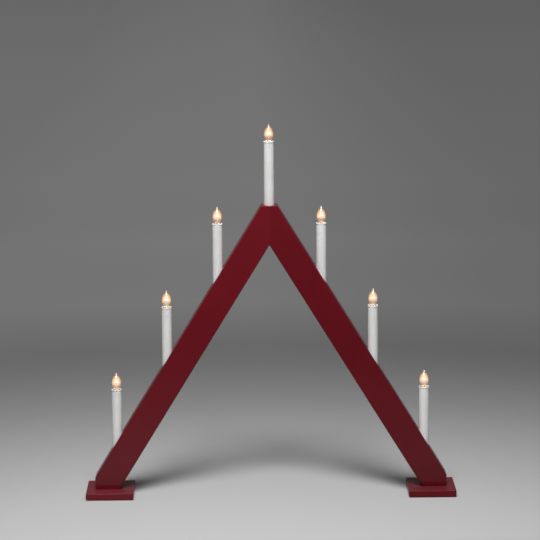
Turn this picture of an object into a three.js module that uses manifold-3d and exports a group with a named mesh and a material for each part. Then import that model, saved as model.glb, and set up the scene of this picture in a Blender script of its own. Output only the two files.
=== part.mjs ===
// Electric candlestick: two mitred, lacquered legs stand on square feet and carry seven
// candle tubes, each with a small screw lamp in a lamp holder.
// Millimetres, +Z up, front towards -Y. The origin is on the floor, midway between the feet.
import * as THREE from "three";
import { mergeVertices } from "three/addons/utils/BufferGeometryUtils.js";
import Module from "manifold-3d";

const wasm = await Module();
wasm.setup();

// Leg frame
const overallWidth = 600;
const apexHeight = 476.5;
const apexFlat = 25.5;
const legFace = 44;
const legThickness = 27;
const legArris = 1;
const noseSetback = 14.3;
const noseRise = 20.1;
const noseRadius = 7;

// Mitre dowels
const dowelRadius = 3;
const dowelLength = 30;
const dowelPitch = 22;
const dowelCover = 8;
const dowelForward = 8;
const dowelClearance = 0.15;
const dowelEndGap = 0.5;

// Feet and pads
const footWidth = 77;
const footDepth = 78;
const footThickness = 10.5;
const footArris = 1.5;
const footCorner = 3;
const padThickness = 1;
const padInset = 2;

// Foot screws
const screwPitch = 19;
const screwLength = 32;
const screwRadius = 2;
const screwTip = 3;
const screwHeadRadius = 4;
const screwHeadHeight = 3;
const screwSink = 0.3;
const screwClearance = 0.15;

// Wiring groove, its cover and the cord outlet
const grooveMargin = 11;
const grooveWidth = 9;
const grooveDepth = 13;
const rebateWidth = 14;
const rebateDepth = 3;
const coverClearance = 0.3;
const glandAlong = 12;
const glandShankRadius = 3.8;
const glandShankLength = 6;
const glandFlangeRadius = 5.6;
const glandFlangeThickness = 2.2;
const glandSlotWidth = 5.4;
const glandSlotHeight = 2.8;
const glandClearance = 0.15;

// Candle tubes
const sideCandles = 3;
const lastCandleInset = 36.7;
const apexSeatDepth = 17.5;
const sideSeatDepth = 35.3;
const tubeLength = 118;
const tubeTopRadius = 7.9;
const tubeFootRadius = 8.6;
const tubeWall = 1.3;
const boreClearance = 0.15;
const wireHoleRadius = 4;
const wireHoleOverrun = 2;

// Lamp holders
const rimThickness = 2;
const rimOverhang = 0.45;
const rimRound = 0.6;
const spigotClearance = 0.15;
const mouthRadius = 5.9;
const mouthDepth = 2;
const mouthCone = 1.2;
const holderFloor = 2;
const terminalRadius = 4.2;
const terminalHeight = 4;
const contactRadius = 2.2;
const contactHeight = 0.8;
const contactGap = 0.3;

// Lamps
const capRadius = 4.7;
const capClearance = 0.25;
const capWall = 0.4;
const capTopDepth = 1.6;
const capLength = 13;
const capTurnIn = 1;
const insulatorClearance = 0.2;
const insulatorPlug = 1;
const insulatorHeight = 1;
const insulatorGap = 0.1;
const nubRadius = 1.6;
const nubHeight = 0.6;
const glassWall = 0.5;
const neckClearance = 0.2;
const neckDepth = 1.6;
const bulbRadius = 7.4;
const bulbHeight = 27.4;
const shoulderHeight = 7;
const widestLow = 10;
const widestHigh = 12.5;
const tipRadius = 0.9;
const stemRadius = 1.3;
const stemClearance = 0.3;
const stemFlare = 1.2;
const stemTop = 6.5;
const leadRadius = 0.35;
const leadSpread = 2.8;
const filamentHeight = 11;
const filamentSag = 1.2;
const filamentRadius = 0.4;

// Inner wiring
const leadClearance = 0.4;
const mainLeadRadius = 2;
const branchLeadRadius = 1.5;
const mainLeadGap = 0.2;

// Fineness of round shapes
const tubeSides = 20;
const holderSides = 16;
const bulbSides = 14;
const smallSides = 10;
const wireSides = 6;
const filamentSides = 5;
const filamentSteps = 4;
const arcSteps = 3;
const arrisSteps = 2;
const cutOverrun = 5;

// Places that follow from the sizes
const footTop = padThickness + footThickness;
const footCentre = (overallWidth - footWidth) / 2;
const noseX = overallWidth / 2 - noseSetback;
const legSlope = Math.atan2(apexHeight - footTop - noseRise, noseX - apexFlat / 2);
const slopeSin = Math.sin(legSlope);
const slopeCos = Math.cos(legSlope);
const slopeTan = Math.tan(legSlope);
const legBack = legThickness / 2;
const grooveInward = legFace - grooveMargin;
const candleSpacing = (noseX - lastCandleInset) / sideCandles;
const boreRadius = tubeFootRadius + boreClearance;
const shellRadius = capRadius + capClearance;
const capBottom = -capTopDepth - capLength;
const nubBottom = capBottom - insulatorGap - insulatorHeight - nubHeight;
const contactTop = nubBottom - contactGap;
const holderFloorTop = contactTop - contactHeight;
const holderBottom = holderFloorTop - holderFloor - terminalHeight;

// Materials
function finish(color, roughness, metalness = 0) {
  return new THREE.MeshStandardMaterial({ color, roughness, metalness });
}

const lacquer = finish(0x6b1c26, 0.3);
const tubePlastic = finish(0xe2e2e0, 0.45);
const holderPlastic = finish(0xece2d8, 0.35);
const brass = finish(0xc79a4b, 0.3, 1);
const blackGlass = finish(0x17161a, 0.25);
const glass = finish(0xf2c698, 0.05);
const filamentMetal = finish(0x9a9a98, 0.35, 1);
const beech = finish(0xc9a273, 0.7);
const zincSteel = finish(0xb4b6b8, 0.35, 1);
const whiteNylon = finish(0xdedcd6, 0.5);
const wireSheath = finish(0xcfcdc6, 0.6);
const felt = finish(0x2a2223, 0.95);

// Solids for cutting and joining
function toSolid(geometry) {
  const bare = geometry.clone();
  bare.deleteAttribute("normal");
  bare.deleteAttribute("uv");
  const merged = mergeVertices(bare, 1e-4);
  return new wasm.Manifold(
    new wasm.Mesh({
      numProp: 3,
      vertProperties: merged.attributes.position.array,
      triVerts: new Uint32Array(merged.index.array),
    }),
  );
}

function toGeometry(solid) {
  const mesh = solid.getMesh();
  const geometry = new THREE.BufferGeometry();
  geometry.setAttribute("position", new THREE.BufferAttribute(mesh.vertProperties, 3));
  geometry.setIndex(new THREE.BufferAttribute(mesh.triVerts, 1));
  geometry.computeVertexNormals();
  return geometry;
}

// A blank with tools taken away from it.
function cutBy(blank, tools) {
  const left = tools.reduce((solid, tool) => solid.subtract(toSolid(tool)), toSolid(blank));
  return toGeometry(left);
}

// Several shapes joined as one.
function joined(shapes) {
  const [first, ...others] = shapes.map(toSolid);
  return toGeometry(others.reduce((solid, other) => solid.add(other), first));
}

// Basic shapes
// A profile of [radius, height] pairs turned round the vertical axis.
function turned(profile, sides) {
  const points = profile.map(([radius, height]) => new THREE.Vector2(radius, height));
  return new THREE.LatheGeometry(points, sides).rotateX(Math.PI / 2);
}

// A closed profile that leaves a hole along the axis.
function turnedRing(profile, sides) {
  return turned([...profile, profile[0]], sides);
}

function rod(radius, bottom, top, sides, x = 0, y = 0) {
  const cylinder = new THREE.CylinderGeometry(radius, radius, top - bottom, sides);
  return cylinder.rotateX(Math.PI / 2).translate(x, y, (bottom + top) / 2);
}

function block(xLow, xHigh, yLow, yHigh, zLow, zHigh) {
  const box = new THREE.BoxGeometry(xHigh - xLow, yHigh - yLow, zHigh - zLow);
  return box.translate((xLow + xHigh) / 2, (yLow + yHigh) / 2, (zLow + zHigh) / 2);
}

// An outline in the X-Z plane made solid from yFront to yBack, its arrises eased by bevel.
function upright(outline, yFront, yBack, bevel = 0) {
  const solid = new THREE.ExtrudeGeometry(outline, {
    depth: yBack - yFront - 2 * bevel,
    bevelEnabled: bevel > 0,
    bevelThickness: bevel,
    bevelSize: bevel,
    bevelOffset: -bevel,
    bevelSegments: arrisSteps,
    curveSegments: arcSteps,
  });
  return solid.rotateX(Math.PI / 2).translate(0, yBack - bevel, 0);
}

// An outline in the X-Y plane made solid from zLow to zHigh.
function level(outline, zLow, zHigh, bevel = 0) {
  const solid = new THREE.ExtrudeGeometry(outline, {
    depth: zHigh - zLow - 2 * bevel,
    bevelEnabled: bevel > 0,
    bevelThickness: bevel,
    bevelSize: bevel,
    bevelOffset: -bevel,
    bevelSegments: arrisSteps,
    curveSegments: arcSteps,
  });
  return solid.translate(0, 0, zLow + bevel);
}

// A round bar from one point to another.
function bar(from, to, radius, sides) {
  const span = new THREE.Vector3().subVectors(to, from);
  const cylinder = new THREE.CylinderGeometry(radius, radius, span.length(), sides);
  const up = new THREE.Vector3(0, 1, 0);
  const turn = new THREE.Quaternion().setFromUnitVectors(up, span.clone().normalize());
  const middle = new THREE.Vector3().addVectors(from, to).multiplyScalar(0.5);
  return cylinder.applyQuaternion(turn).translate(middle.x, middle.y, middle.z);
}

function piece(name, geometry, material) {
  const mesh = new THREE.Mesh(geometry, material);
  mesh.name = name;
  return mesh;
}

// Places on the right leg
// Height of the line that lies `inward` of the sloping top edge, at a distance x from the middle.
function legHeight(x, inward = 0) {
  return apexHeight - (x - apexFlat / 2) * slopeTan - inward / slopeCos;
}

// The x at which that line has the given height.
function legX(height, inward = 0) {
  return apexFlat / 2 + (apexHeight - height - inward / slopeCos) / slopeTan;
}

// The middle candle is 0, and the others count outwards.
function candlePlaces() {
  return Array.from({ length: sideCandles + 1 }, (_, index) => index);
}

function candleX(index) {
  return index * candleSpacing;
}

// Height of the face that candle `index` stands in, counted out from the middle.
function candleFace(index) {
  return index === 0 ? apexHeight : legHeight(candleX(index));
}

function tubeFoot(index) {
  return candleFace(index) - (index === 0 ? apexSeatDepth : sideSeatDepth);
}

function rimHeight(index) {
  return tubeFoot(index) + tubeLength + rimThickness;
}

// The groove ends round the wire hole of the lowest candle.
function grooveEnd() {
  const x = candleX(sideCandles);
  return new THREE.Vector2(x, legHeight(x, grooveInward));
}

function glandPlace() {
  const end = grooveEnd();
  return new THREE.Vector2(end.x - glandAlong * slopeCos, end.y + glandAlong * slopeSin);
}

function footScrewX() {
  const inner = legX(footTop, legFace);
  const middle = (inner + noseX) / 2;
  return [middle - screwPitch / 2, middle + screwPitch / 2];
}

// Leg
function legOutline() {
  const low = footTop - cutOverrun;
  const noseCentre = noseX - noseRadius;
  const outline = new THREE.Shape();
  outline.moveTo(-cutOverrun, apexHeight);
  outline.lineTo(apexFlat / 2, apexHeight);
  outline.absarc(noseCentre, legHeight(noseCentre, noseRadius), noseRadius, Math.PI / 2 - legSlope, 0, true);
  outline.lineTo(noseX, low);
  outline.lineTo(legX(low, legFace), low);
  outline.lineTo(-cutOverrun, legHeight(-cutOverrun, legFace));
  outline.closePath();
  return outline;
}

// A slot along the leg from past the mitre to the round end near the foot, centred on the groove.
function grooveOutline(width, mitreX) {
  const half = width / 2;
  const end = grooveEnd();
  const outline = new THREE.Shape();
  outline.absarc(end.x, end.y, half, Math.PI / 2 - legSlope, -Math.PI / 2 - legSlope, true);
  outline.lineTo(mitreX, legHeight(mitreX, grooveInward + half));
  outline.lineTo(mitreX, legHeight(mitreX, grooveInward - half));
  outline.closePath();
  return outline;
}

function candleBores(index) {
  const x = candleX(index);
  const seat = tubeFoot(index);
  const deepest = legHeight(x, grooveInward) - wireHoleOverrun;
  const mouth = candleFace(index) + boreRadius * slopeTan + cutOverrun;
  return [
    rod(boreRadius, seat, mouth, tubeSides, x),
    rod(wireHoleRadius, deepest, seat + 1, holderSides, x),
  ];
}

// The upper dowel lies below the bore of the apex candle.
function dowelHeights() {
  const upper = tubeFoot(0) - dowelCover - dowelRadius;
  return [upper, upper - dowelPitch];
}

function dowelShape(radius, length, height) {
  const cylinder = new THREE.CylinderGeometry(radius, radius, length, holderSides);
  return cylinder.rotateZ(Math.PI / 2).translate(0, -dowelForward, height);
}

function legGeometry() {
  const reach = overallWidth;
  const dowelHoles = dowelHeights().map((height) =>
    dowelShape(dowelRadius + dowelClearance, dowelLength + 2 * dowelEndGap, height),
  );
  const screwTop = padThickness + screwSink + screwLength + screwClearance;
  const pilots = footScrewX().map((x) =>
    rod(screwRadius + screwClearance, footTop - cutOverrun, screwTop, smallSides, x),
  );
  return cutBy(upright(legOutline(), -legBack, legBack, legArris), [
    block(-reach, 0, -reach, reach, -reach, reach),
    block(-reach, reach, -reach, reach, -reach, footTop),
    upright(grooveOutline(grooveWidth, -cutOverrun), legBack - grooveDepth, legBack + cutOverrun),
    upright(grooveOutline(rebateWidth, -cutOverrun), legBack - rebateDepth, legBack + cutOverrun),
    ...candlePlaces().flatMap(candleBores),
    ...dowelHoles,
    ...pilots,
  ]);
}

// Back cover
function coverGeometry(withOutlet) {
  const mitreX = coverClearance / 2;
  const width = rebateWidth - 2 * coverClearance;
  const strip = upright(grooveOutline(width, mitreX), legBack - rebateDepth + coverClearance, legBack);
  if (!withOutlet) return strip;
  const place = glandPlace();
  const hole = new THREE.CylinderGeometry(1, 1, 4 * rebateDepth, holderSides);
  const radius = glandShankRadius + glandClearance;
  hole.scale(radius, 1, radius).translate(place.x, legBack, place.y);
  return cutBy(strip, [hole]);
}

// Cord outlet: a flanged bush with a slot for a flat cord
function glandGeometry() {
  const place = glandPlace();
  const bush = turned(
    [
      [0, -glandShankLength],
      [glandShankRadius, -glandShankLength],
      [glandShankRadius, coverClearance],
      [glandFlangeRadius, coverClearance],
      [glandFlangeRadius, coverClearance + glandFlangeThickness - rimRound],
      [glandFlangeRadius - rimRound, coverClearance + glandFlangeThickness],
      [0, coverClearance + glandFlangeThickness],
    ],
    holderSides,
  );
  bush.rotateX(-Math.PI / 2).translate(place.x, legBack, place.y);
  const half = (glandSlotWidth - glandSlotHeight) / 2;
  const slot = new THREE.Shape();
  slot.absarc(half, 0, glandSlotHeight / 2, -Math.PI / 2, Math.PI / 2, false);
  slot.absarc(-half, 0, glandSlotHeight / 2, Math.PI / 2, (3 * Math.PI) / 2, false);
  const through = upright(slot, -4 * glandShankLength, 4 * glandShankLength);
  return cutBy(bush, [through.translate(place.x, legBack, place.y)]);
}

// Foot
function roundedRectangle(width, depth, radius) {
  const x = width / 2 - radius;
  const y = depth / 2 - radius;
  const outline = new THREE.Shape();
  outline.absarc(x, y, radius, 0, Math.PI / 2, false);
  outline.absarc(-x, y, radius, Math.PI / 2, Math.PI, false);
  outline.absarc(-x, -y, radius, Math.PI, 1.5 * Math.PI, false);
  outline.absarc(x, -y, radius, 1.5 * Math.PI, 2 * Math.PI, false);
  return outline;
}

// The part of a countersunk screw above its flat head, grown by the clearance for its hole.
function screwStem(grow) {
  const head = padThickness + screwSink;
  return [
    [screwHeadRadius + grow, head],
    [screwRadius + grow, head + screwHeadHeight],
    [screwRadius + grow, head + screwLength - screwTip],
    [0, head + screwLength],
  ];
}

function screwGeometry() {
  return turned([[0, padThickness + screwSink], ...screwStem(0)], smallSides);
}

function screwHole(x) {
  const mouth = screwHeadRadius + screwClearance;
  const profile = [[0, 0], [mouth, 0], ...screwStem(screwClearance)];
  return turned(profile, smallSides).translate(x, 0, 0);
}

function footGeometry() {
  const outline = roundedRectangle(footWidth, footDepth, footCorner);
  const plate = level(outline, padThickness, footTop, footArris).translate(footCentre, 0, 0);
  return cutBy(plate, footScrewX().map(screwHole));
}

function padGeometry() {
  const outline = roundedRectangle(footWidth - 2 * padInset, footDepth - 2 * padInset, footCorner);
  return level(outline, 0, padThickness).translate(footCentre, 0, 0);
}

// Wiring inside one leg: a lead along the groove with a branch up to each lamp holder. The left
// leg's wiring also serves the apex candle, and the right leg's has a tail to the cord outlet.
function wiringGeometry(isLeft) {
  const y = legBack - grooveDepth + mainLeadGap + mainLeadRadius;
  const nearX = isLeft ? 0 : branchLeadRadius + leadClearance;
  const near = new THREE.Vector3(nearX, y, legHeight(nearX, grooveInward));
  const end = grooveEnd();
  const runs = [bar(near, new THREE.Vector3(end.x, y, end.y), mainLeadRadius, wireSides)];
  for (const index of candlePlaces().slice(isLeft ? 0 : 1)) {
    const x = candleX(index);
    const top = rimHeight(index) + holderBottom - leadClearance;
    runs.push(rod(branchLeadRadius, legHeight(x, grooveInward), top, wireSides, x));
  }
  if (!isLeft) {
    const place = glandPlace();
    const tailEnd = legBack - glandShankLength - leadClearance;
    const from = new THREE.Vector3(place.x, y, place.y);
    runs.push(bar(from, new THREE.Vector3(place.x, tailEnd, place.y), branchLeadRadius, wireSides));
  }
  return joined(runs);
}

// Candle tube, with heights counted from the top of its rim
function tubeGeometry() {
  const top = -rimThickness;
  const foot = top - tubeLength;
  return turnedRing(
    [
      [tubeFootRadius, foot],
      [tubeTopRadius, top],
      [tubeTopRadius - tubeWall, top],
      [tubeFootRadius - tubeWall, foot],
    ],
    tubeSides,
  );
}

// Lamp holder: rim on the tube, spigot inside it, socket and terminal block
function holderGeometry() {
  const rim = tubeTopRadius + rimOverhang;
  const spigot = tubeTopRadius - tubeWall - spigotClearance;
  const floorBottom = holderFloorTop - holderFloor;
  return turned(
    [
      [0, holderBottom],
      [terminalRadius, holderBottom],
      [terminalRadius, floorBottom],
      [spigot, floorBottom],
      [spigot, -rimThickness],
      [rim, -rimThickness],
      [rim, -rimRound],
      [rim - rimRound, 0],
      [mouthRadius, 0],
      [mouthRadius, -mouthDepth],
      [shellRadius, -mouthDepth - mouthCone],
      [shellRadius, holderFloorTop],
      [contactRadius, holderFloorTop],
      [contactRadius, contactTop],
      [0, contactTop],
    ],
    holderSides,
  );
}

// Lamp cap: a thin brass shell turned in at its lower end
function capGeometry() {
  return turnedRing(
    [
      [capRadius - capTurnIn, capBottom],
      [capRadius, capBottom + capTurnIn],
      [capRadius, -capTopDepth],
      [capRadius - capWall, -capTopDepth],
      [capRadius - capWall, capBottom + capTurnIn],
      [capRadius - capTurnIn - capWall, capBottom],
    ],
    bulbSides,
  );
}

// Insulator below the cap, with the contact nub in its middle
function insulatorGeometry() {
  const plug = capRadius - capTurnIn - capWall - insulatorClearance;
  const collar = capRadius - capTurnIn;
  const top = capBottom - insulatorGap;
  const bottom = top - insulatorHeight;
  return turned(
    [
      [0, nubBottom],
      [nubRadius, nubBottom],
      [nubRadius, bottom],
      [plug, bottom],
      [collar, top],
      [plug, top],
      [plug, top + insulatorPlug],
      [0, top + insulatorPlug],
    ],
    smallSides,
  );
}

// Half-section of the flame-shaped glass, shrunk by the wall for its inside
function glassSection(shrink) {
  const neck = capRadius - capWall - neckClearance;
  return [
    [neck, -capTopDepth - neckDepth],
    [neck, -capTopDepth],
    [(neck + bulbRadius) / 2, shoulderHeight * 0.35],
    [bulbRadius * 0.93, shoulderHeight],
    [bulbRadius, widestLow],
    [bulbRadius * 0.98, widestHigh],
    [bulbRadius * 0.83, bulbHeight * 0.62],
    [bulbRadius * 0.56, bulbHeight * 0.76],
    [bulbRadius * 0.3, bulbHeight * 0.88],
    [tipRadius, bulbHeight - tipRadius],
  ].map(([radius, height]) => [radius - shrink, height]);
}

function glassGeometry() {
  const foot = -capTopDepth - neckDepth;
  const inside = glassSection(glassWall).filter((_, i) => i < 2 || i % 2 === 0);
  const neck = inside[0][0];
  const outer = turned([[0, foot], ...glassSection(0), [0, bulbHeight]], bulbSides);
  const inner = turned(
    [[0, foot - cutOverrun], [neck, foot - cutOverrun], ...inside, [0, bulbHeight - tipRadius]],
    bulbSides,
  );
  return cutBy(outer, [inner]);
}

// Stem, lead wires and filament
function filamentGeometry() {
  const neck = capRadius - capWall - neckClearance - glassWall - stemClearance;
  const foot = -capTopDepth - neckDepth;
  const stem = turned(
    [
      [0, foot],
      [neck, foot],
      [neck, foot + stemFlare / 2],
      [stemRadius, foot + stemFlare * 2],
      [stemRadius * 0.8, stemTop - stemRadius],
      [stemRadius * 0.3, stemTop],
      [0, stemTop],
    ],
    wireSides,
  );
  const low = new THREE.Vector3(0, 0, stemTop - stemRadius);
  const ends = [-1, 1].map((side) => new THREE.Vector3(side * leadSpread, 0, filamentHeight));
  const leads = ends.map((end) => bar(low, end, leadRadius, filamentSides));
  const coilPath = new THREE.QuadraticBezierCurve3(
    ends[0],
    new THREE.Vector3(0, 0, filamentHeight + 2 * filamentSag),
    ends[1],
  );
  const section = new THREE.Shape().absarc(0, 0, filamentRadius, 0, 2 * Math.PI, false);
  const coil = new THREE.ExtrudeGeometry(section, {
    steps: filamentSteps,
    extrudePath: coilPath,
    curveSegments: arcSteps,
  });
  return joined([stem, ...leads, coil]);
}

// One candle: the tube with its lamp holder and lamp
function candle(number, index, side) {
  const group = new THREE.Group();
  group.position.set(side * candleX(index), 0, rimHeight(index));
  group.add(piece(`candle_tube_${number}`, tubeGeometry(), tubePlastic));
  group.add(piece(`lamp_holder_${number}`, holderGeometry(), holderPlastic));
  group.add(piece(`bulb_cap_${number}`, capGeometry(), brass));
  group.add(piece(`bulb_insulator_${number}`, insulatorGeometry(), blackGlass));
  group.add(piece(`bulb_glass_${number}`, glassGeometry(), glass));
  group.add(piece(`bulb_filament_${number}`, filamentGeometry(), filamentMetal));
  return group;
}

// One half of the frame; the left half is the right half mirrored
function half(name, side) {
  const group = new THREE.Group();
  group.scale.x = side;
  group.add(piece(`leg_${name}`, legGeometry(), lacquer));
  group.add(piece(`foot_${name}`, footGeometry(), lacquer));
  group.add(piece(`felt_pad_${name}`, padGeometry(), felt));
  footScrewX().forEach((x, i) => {
    const place = i === 0 ? "inner" : "outer";
    group.add(piece(`foot_screw_${name}_${place}`, screwGeometry().translate(x, 0, 0), zincSteel));
  });
  group.add(piece(`back_cover_${name}`, coverGeometry(side > 0), lacquer));
  group.add(piece(`wiring_${name}`, wiringGeometry(side < 0), wireSheath));
  return group;
}

const candlestick = new THREE.Group();
candlestick.add(half("left", -1), half("right", 1));
dowelHeights().forEach((height, i) => {
  const name = i === 0 ? "apex_dowel_upper" : "apex_dowel_lower";
  candlestick.add(piece(name, dowelShape(dowelRadius, dowelLength, height), beech));
});
candlestick.add(piece("cord_gland", glandGeometry(), whiteNylon));
for (let place = -sideCandles; place <= sideCandles; place += 1) {
  candlestick.add(candle(place + sideCandles + 1, Math.abs(place), Math.sign(place)));
}

export default candlestick;
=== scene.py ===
"""Dresses an electric candlestick: two mitred, lacquered legs on square feet carry seven
candle tubes, each with a lit screw lamp in a lamp holder.

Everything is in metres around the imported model, +Z up, front towards -Y.
"""
import math

import bmesh
import bpy
from mathutils import Matrix, Vector


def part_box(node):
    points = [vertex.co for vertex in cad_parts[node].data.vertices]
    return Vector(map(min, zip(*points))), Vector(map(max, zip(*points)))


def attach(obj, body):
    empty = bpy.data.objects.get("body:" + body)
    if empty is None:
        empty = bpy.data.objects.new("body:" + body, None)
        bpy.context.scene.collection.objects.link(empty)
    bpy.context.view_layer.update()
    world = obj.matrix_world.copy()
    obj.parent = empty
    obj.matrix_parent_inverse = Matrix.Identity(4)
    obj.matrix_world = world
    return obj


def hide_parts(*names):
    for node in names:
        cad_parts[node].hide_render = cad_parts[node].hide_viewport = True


bl_info = {
    "name": "Electric candlestick",
    "version": (1, 0, 0),
    "blender": (4, 5, 0),
    "location": "3D View > Sidebar > Candlestick",
    "description": "Builds a seven-light electric candlestick piece by piece",
    "category": "Add Mesh",
}

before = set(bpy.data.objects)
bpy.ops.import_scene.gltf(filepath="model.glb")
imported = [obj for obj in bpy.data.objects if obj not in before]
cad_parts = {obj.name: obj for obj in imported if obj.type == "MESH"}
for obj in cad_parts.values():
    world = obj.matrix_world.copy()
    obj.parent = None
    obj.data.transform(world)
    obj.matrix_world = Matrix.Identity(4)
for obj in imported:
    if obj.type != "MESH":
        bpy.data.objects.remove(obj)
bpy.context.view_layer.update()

MM = 0.001
CANDLES = range(1, 8)
STAND = "stand"

# Distances that count as none: from an axis or plane, between two points, along an edge
ON_AXIS = 1e-7
DOUBLED = 2e-6
NO_LENGTH = 1e-6
# How far a cutter stands past what it cuts, and the bend from which an edge stays sharp
PAST = 10 * MM
SHARP = math.radians(38)


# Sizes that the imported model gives
def size_of(node):
    low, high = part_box(node)
    return high - low


def middle_of(node):
    low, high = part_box(node)
    return (low + high) / 2


def rim_top(candle):
    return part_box(f"lamp_holder_{candle}")[1].z


def candle_axis(candle):
    """Where a candle's axis meets the top of its rim."""
    return Vector((middle_of(f"candle_tube_{candle}").x, 0, rim_top(candle)))


RIGHT_LEG_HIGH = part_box("leg_right")[1]
LEG_BACK = RIGHT_LEG_HIGH.y
FOOT_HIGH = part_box("foot_right")[1]


def length(label, note, default):
    """A size in metres that a user can change."""
    return bpy.props.FloatProperty(
        name=label, description=note, default=default, min=0, subtype="DISTANCE", unit="LENGTH"
    )


def colour(label, note, default):
    return bpy.props.FloatVectorProperty(
        name=label, description=note, default=default, min=0, max=1, size=3, subtype="COLOR"
    )


def amount(label, note, default):
    return bpy.props.FloatProperty(name=label, description=note, default=default, min=0)


def number(label, note, default):
    return bpy.props.IntProperty(name=label, description=note, default=default, min=3)


class LegSizes(bpy.types.PropertyGroup):
    apex_flat: length("Apex flat", "Width of the flat that the middle candle stands on", 25.5 * MM)
    slope: bpy.props.FloatProperty(
        name="Slope",
        description="Angle of a leg above the floor",
        default=math.radians(58.472),
        subtype="ANGLE",
        unit="ROTATION",
    )
    face: length("Face", "Width of a leg, seen from the front", 44 * MM)
    arris: length("Arris", "Radius along the edges of a leg", 1.2 * MM)
    nose_radius: length("Nose radius", "Rounding at the outer lower end of a leg", 7 * MM)
    mitre_arris: length("Mitre arris", "Softening of the joint at the apex", 0.14 * MM)
    groove_inward: length("Groove inward", "Middle of the groove below the sloping edge", 33 * MM)
    groove_width: length("Groove width", "Width of the wiring groove", 9 * MM)
    groove_depth: length("Groove depth", "Depth of the wiring groove", 13 * MM)
    rebate_width: length("Rebate width", "Width of the cover's seat", 14 * MM)
    rebate_depth: length("Rebate depth", "Depth of the cover's seat", 3 * MM)
    bore_clearance: length("Bore clearance", "Room round a tube in its bore", 0.15 * MM)
    wire_hole: length("Wire hole", "Radius of the hole below a bore", 4 * MM)


class FootSizes(bpy.types.PropertyGroup):
    corner: length("Corner", "Rounding of the plate's upright corners", 2.4 * MM)
    arris: length("Arris", "Rounding along the plate's top and bottom edges", 0.8 * MM)
    screw_clearance: length("Screw clearance", "Room round the foot screws", 0.15 * MM)


class CoverSizes(bpy.types.PropertyGroup):
    clearance: length("Clearance", "Gap round the cover strip", 0.3 * MM)
    arris: length("Arris", "Rounding along the strip's edges", 0.35 * MM)
    pin_radius: length("Pin radius", "Radius of a panel pin's head", 0.9 * MM)
    pin_margin: length("Pin margin", "From the strip's edge to the pins", 1.4 * MM)
    end_margin: length("End margin", "From the apex and the lowest candle to the pins", 12 * MM)
    pins: number("Pins", "Pins along each edge of a strip", 8)
    gland_hole: length("Gland hole", "Radius of the strip's hole for the cord outlet", 3.95 * MM)
    gland_neck: length("Gland neck", "Radius of the cord outlet in its hole", 3.8 * MM)
    slot_width: length("Slot width", "Width of the cord's way through the outlet", 5.4 * MM)
    slot_height: length("Slot height", "Height of the cord's way through the outlet", 2.8 * MM)
    slot_flare: length("Slot flare", "Widening at the mouth of the outlet", 0.8 * MM)


class CandleSizes(bpy.types.PropertyGroup):
    wall: length("Wall", "Thickness of a candle tube", 1.3 * MM)
    rim_overhang: length("Rim overhang", "How far the holder's rim stands over its tube", 0.45 * MM)
    rim_thickness: length("Rim thickness", "Height of the lamp holder's rim", 2 * MM)
    rim_round: length("Rim round", "Rounding of the rim's lip", 0.375 * MM)
    shell_sheet: length("Shell sheet", "Thickness of the threaded brass shell", 0.32 * MM)
    shell_gap: length("Shell gap", "Room between the cap and the shell", 0.2 * MM)


class LampSizes(bpy.types.PropertyGroup):
    cap_radius: length("Cap radius", "Radius over the crests of the cap's thread", 4.7 * MM)
    pitch: length("Pitch", "Rise of the thread in one turn", 1.81 * MM)
    thread_depth: length("Thread depth", "From crest to root", 0.45 * MM)
    glass_wall: length("Glass wall", "Thickness of the glass", 0.5 * MM)
    bulb_radius: length("Bulb radius", "Widest radius of the glass", 7.4 * MM)
    neck_radius: length("Neck radius", "Radius of the glass in its cap", 4.1 * MM)
    coil_spread: length("Coil spread", "Half the length of the filament", 2.8 * MM)
    coil_height: length("Coil height", "The filament's ends over the rim", 11 * MM)
    coil_radius: length("Coil radius", "Radius of the filament's coil", 0.42 * MM)
    wire_radius: length("Wire radius", "Radius of the filament's wire", 0.09 * MM)
    coil_turns: number("Coil turns", "Turns in a filament", 15)


class Finishes(bpy.types.PropertyGroup):
    lacquer: colour("Lacquer", "Dark red of the legs", (0.094, 0.0038, 0.0077))
    # The plates share one red, painted lighter on the left and darker on the right: painted light
    # and shade.
    left_foot_painted_lighter: colour("Left foot", "Dark red of the left plate", (0.120, 0.0042, 0.0110))
    right_foot_painted_darker: colour("Right foot", "Dark red of the right plate", (0.107, 0.0034, 0.0090))
    tube: colour("Tube", "White of the candle tubes", (0.635, 0.635, 0.63))
    holder: colour("Holder", "Warm white of the lamp holders", (0.69, 0.665, 0.63))
    brass: colour("Brass", "Lamp caps and socket shells", (0.72, 0.50, 0.22))
    glow: colour("Glow", "Light of the filament", (1.0, 0.57, 0.25))
    glow_strength: amount("Glow strength", "Strength of the filament's light", 3.0)


class StageSettings(bpy.types.PropertyGroup):
    camera_distance: length("Camera distance", "Camera in front of the object", 3.6575)
    camera_height: length("Camera height", "Camera above the floor", 1.0973)
    camera_sideways: bpy.props.FloatProperty(
        name="Camera sideways",
        description="Camera to the right of the object",
        default=-0.0395,
        subtype="DISTANCE",
        unit="LENGTH",
    )
    lens: bpy.props.FloatProperty(
        name="Lens", description="Focal length in millimetres on a 36 mm sensor", default=155.05
    )
    key: amount("Key light", "Power of the soft lamp above the front", 113.0)
    ambient: amount("Ambient light", "Strength of the light from all round", 0.09)


GROUPS = {
    "candlestick_legs": LegSizes,
    "candlestick_feet": FootSizes,
    "candlestick_covers": CoverSizes,
    "candlestick_candles": CandleSizes,
    "candlestick_lamps": LampSizes,
    "candlestick_finishes": Finishes,
    "candlestick_stage": StageSettings,
}


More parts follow.
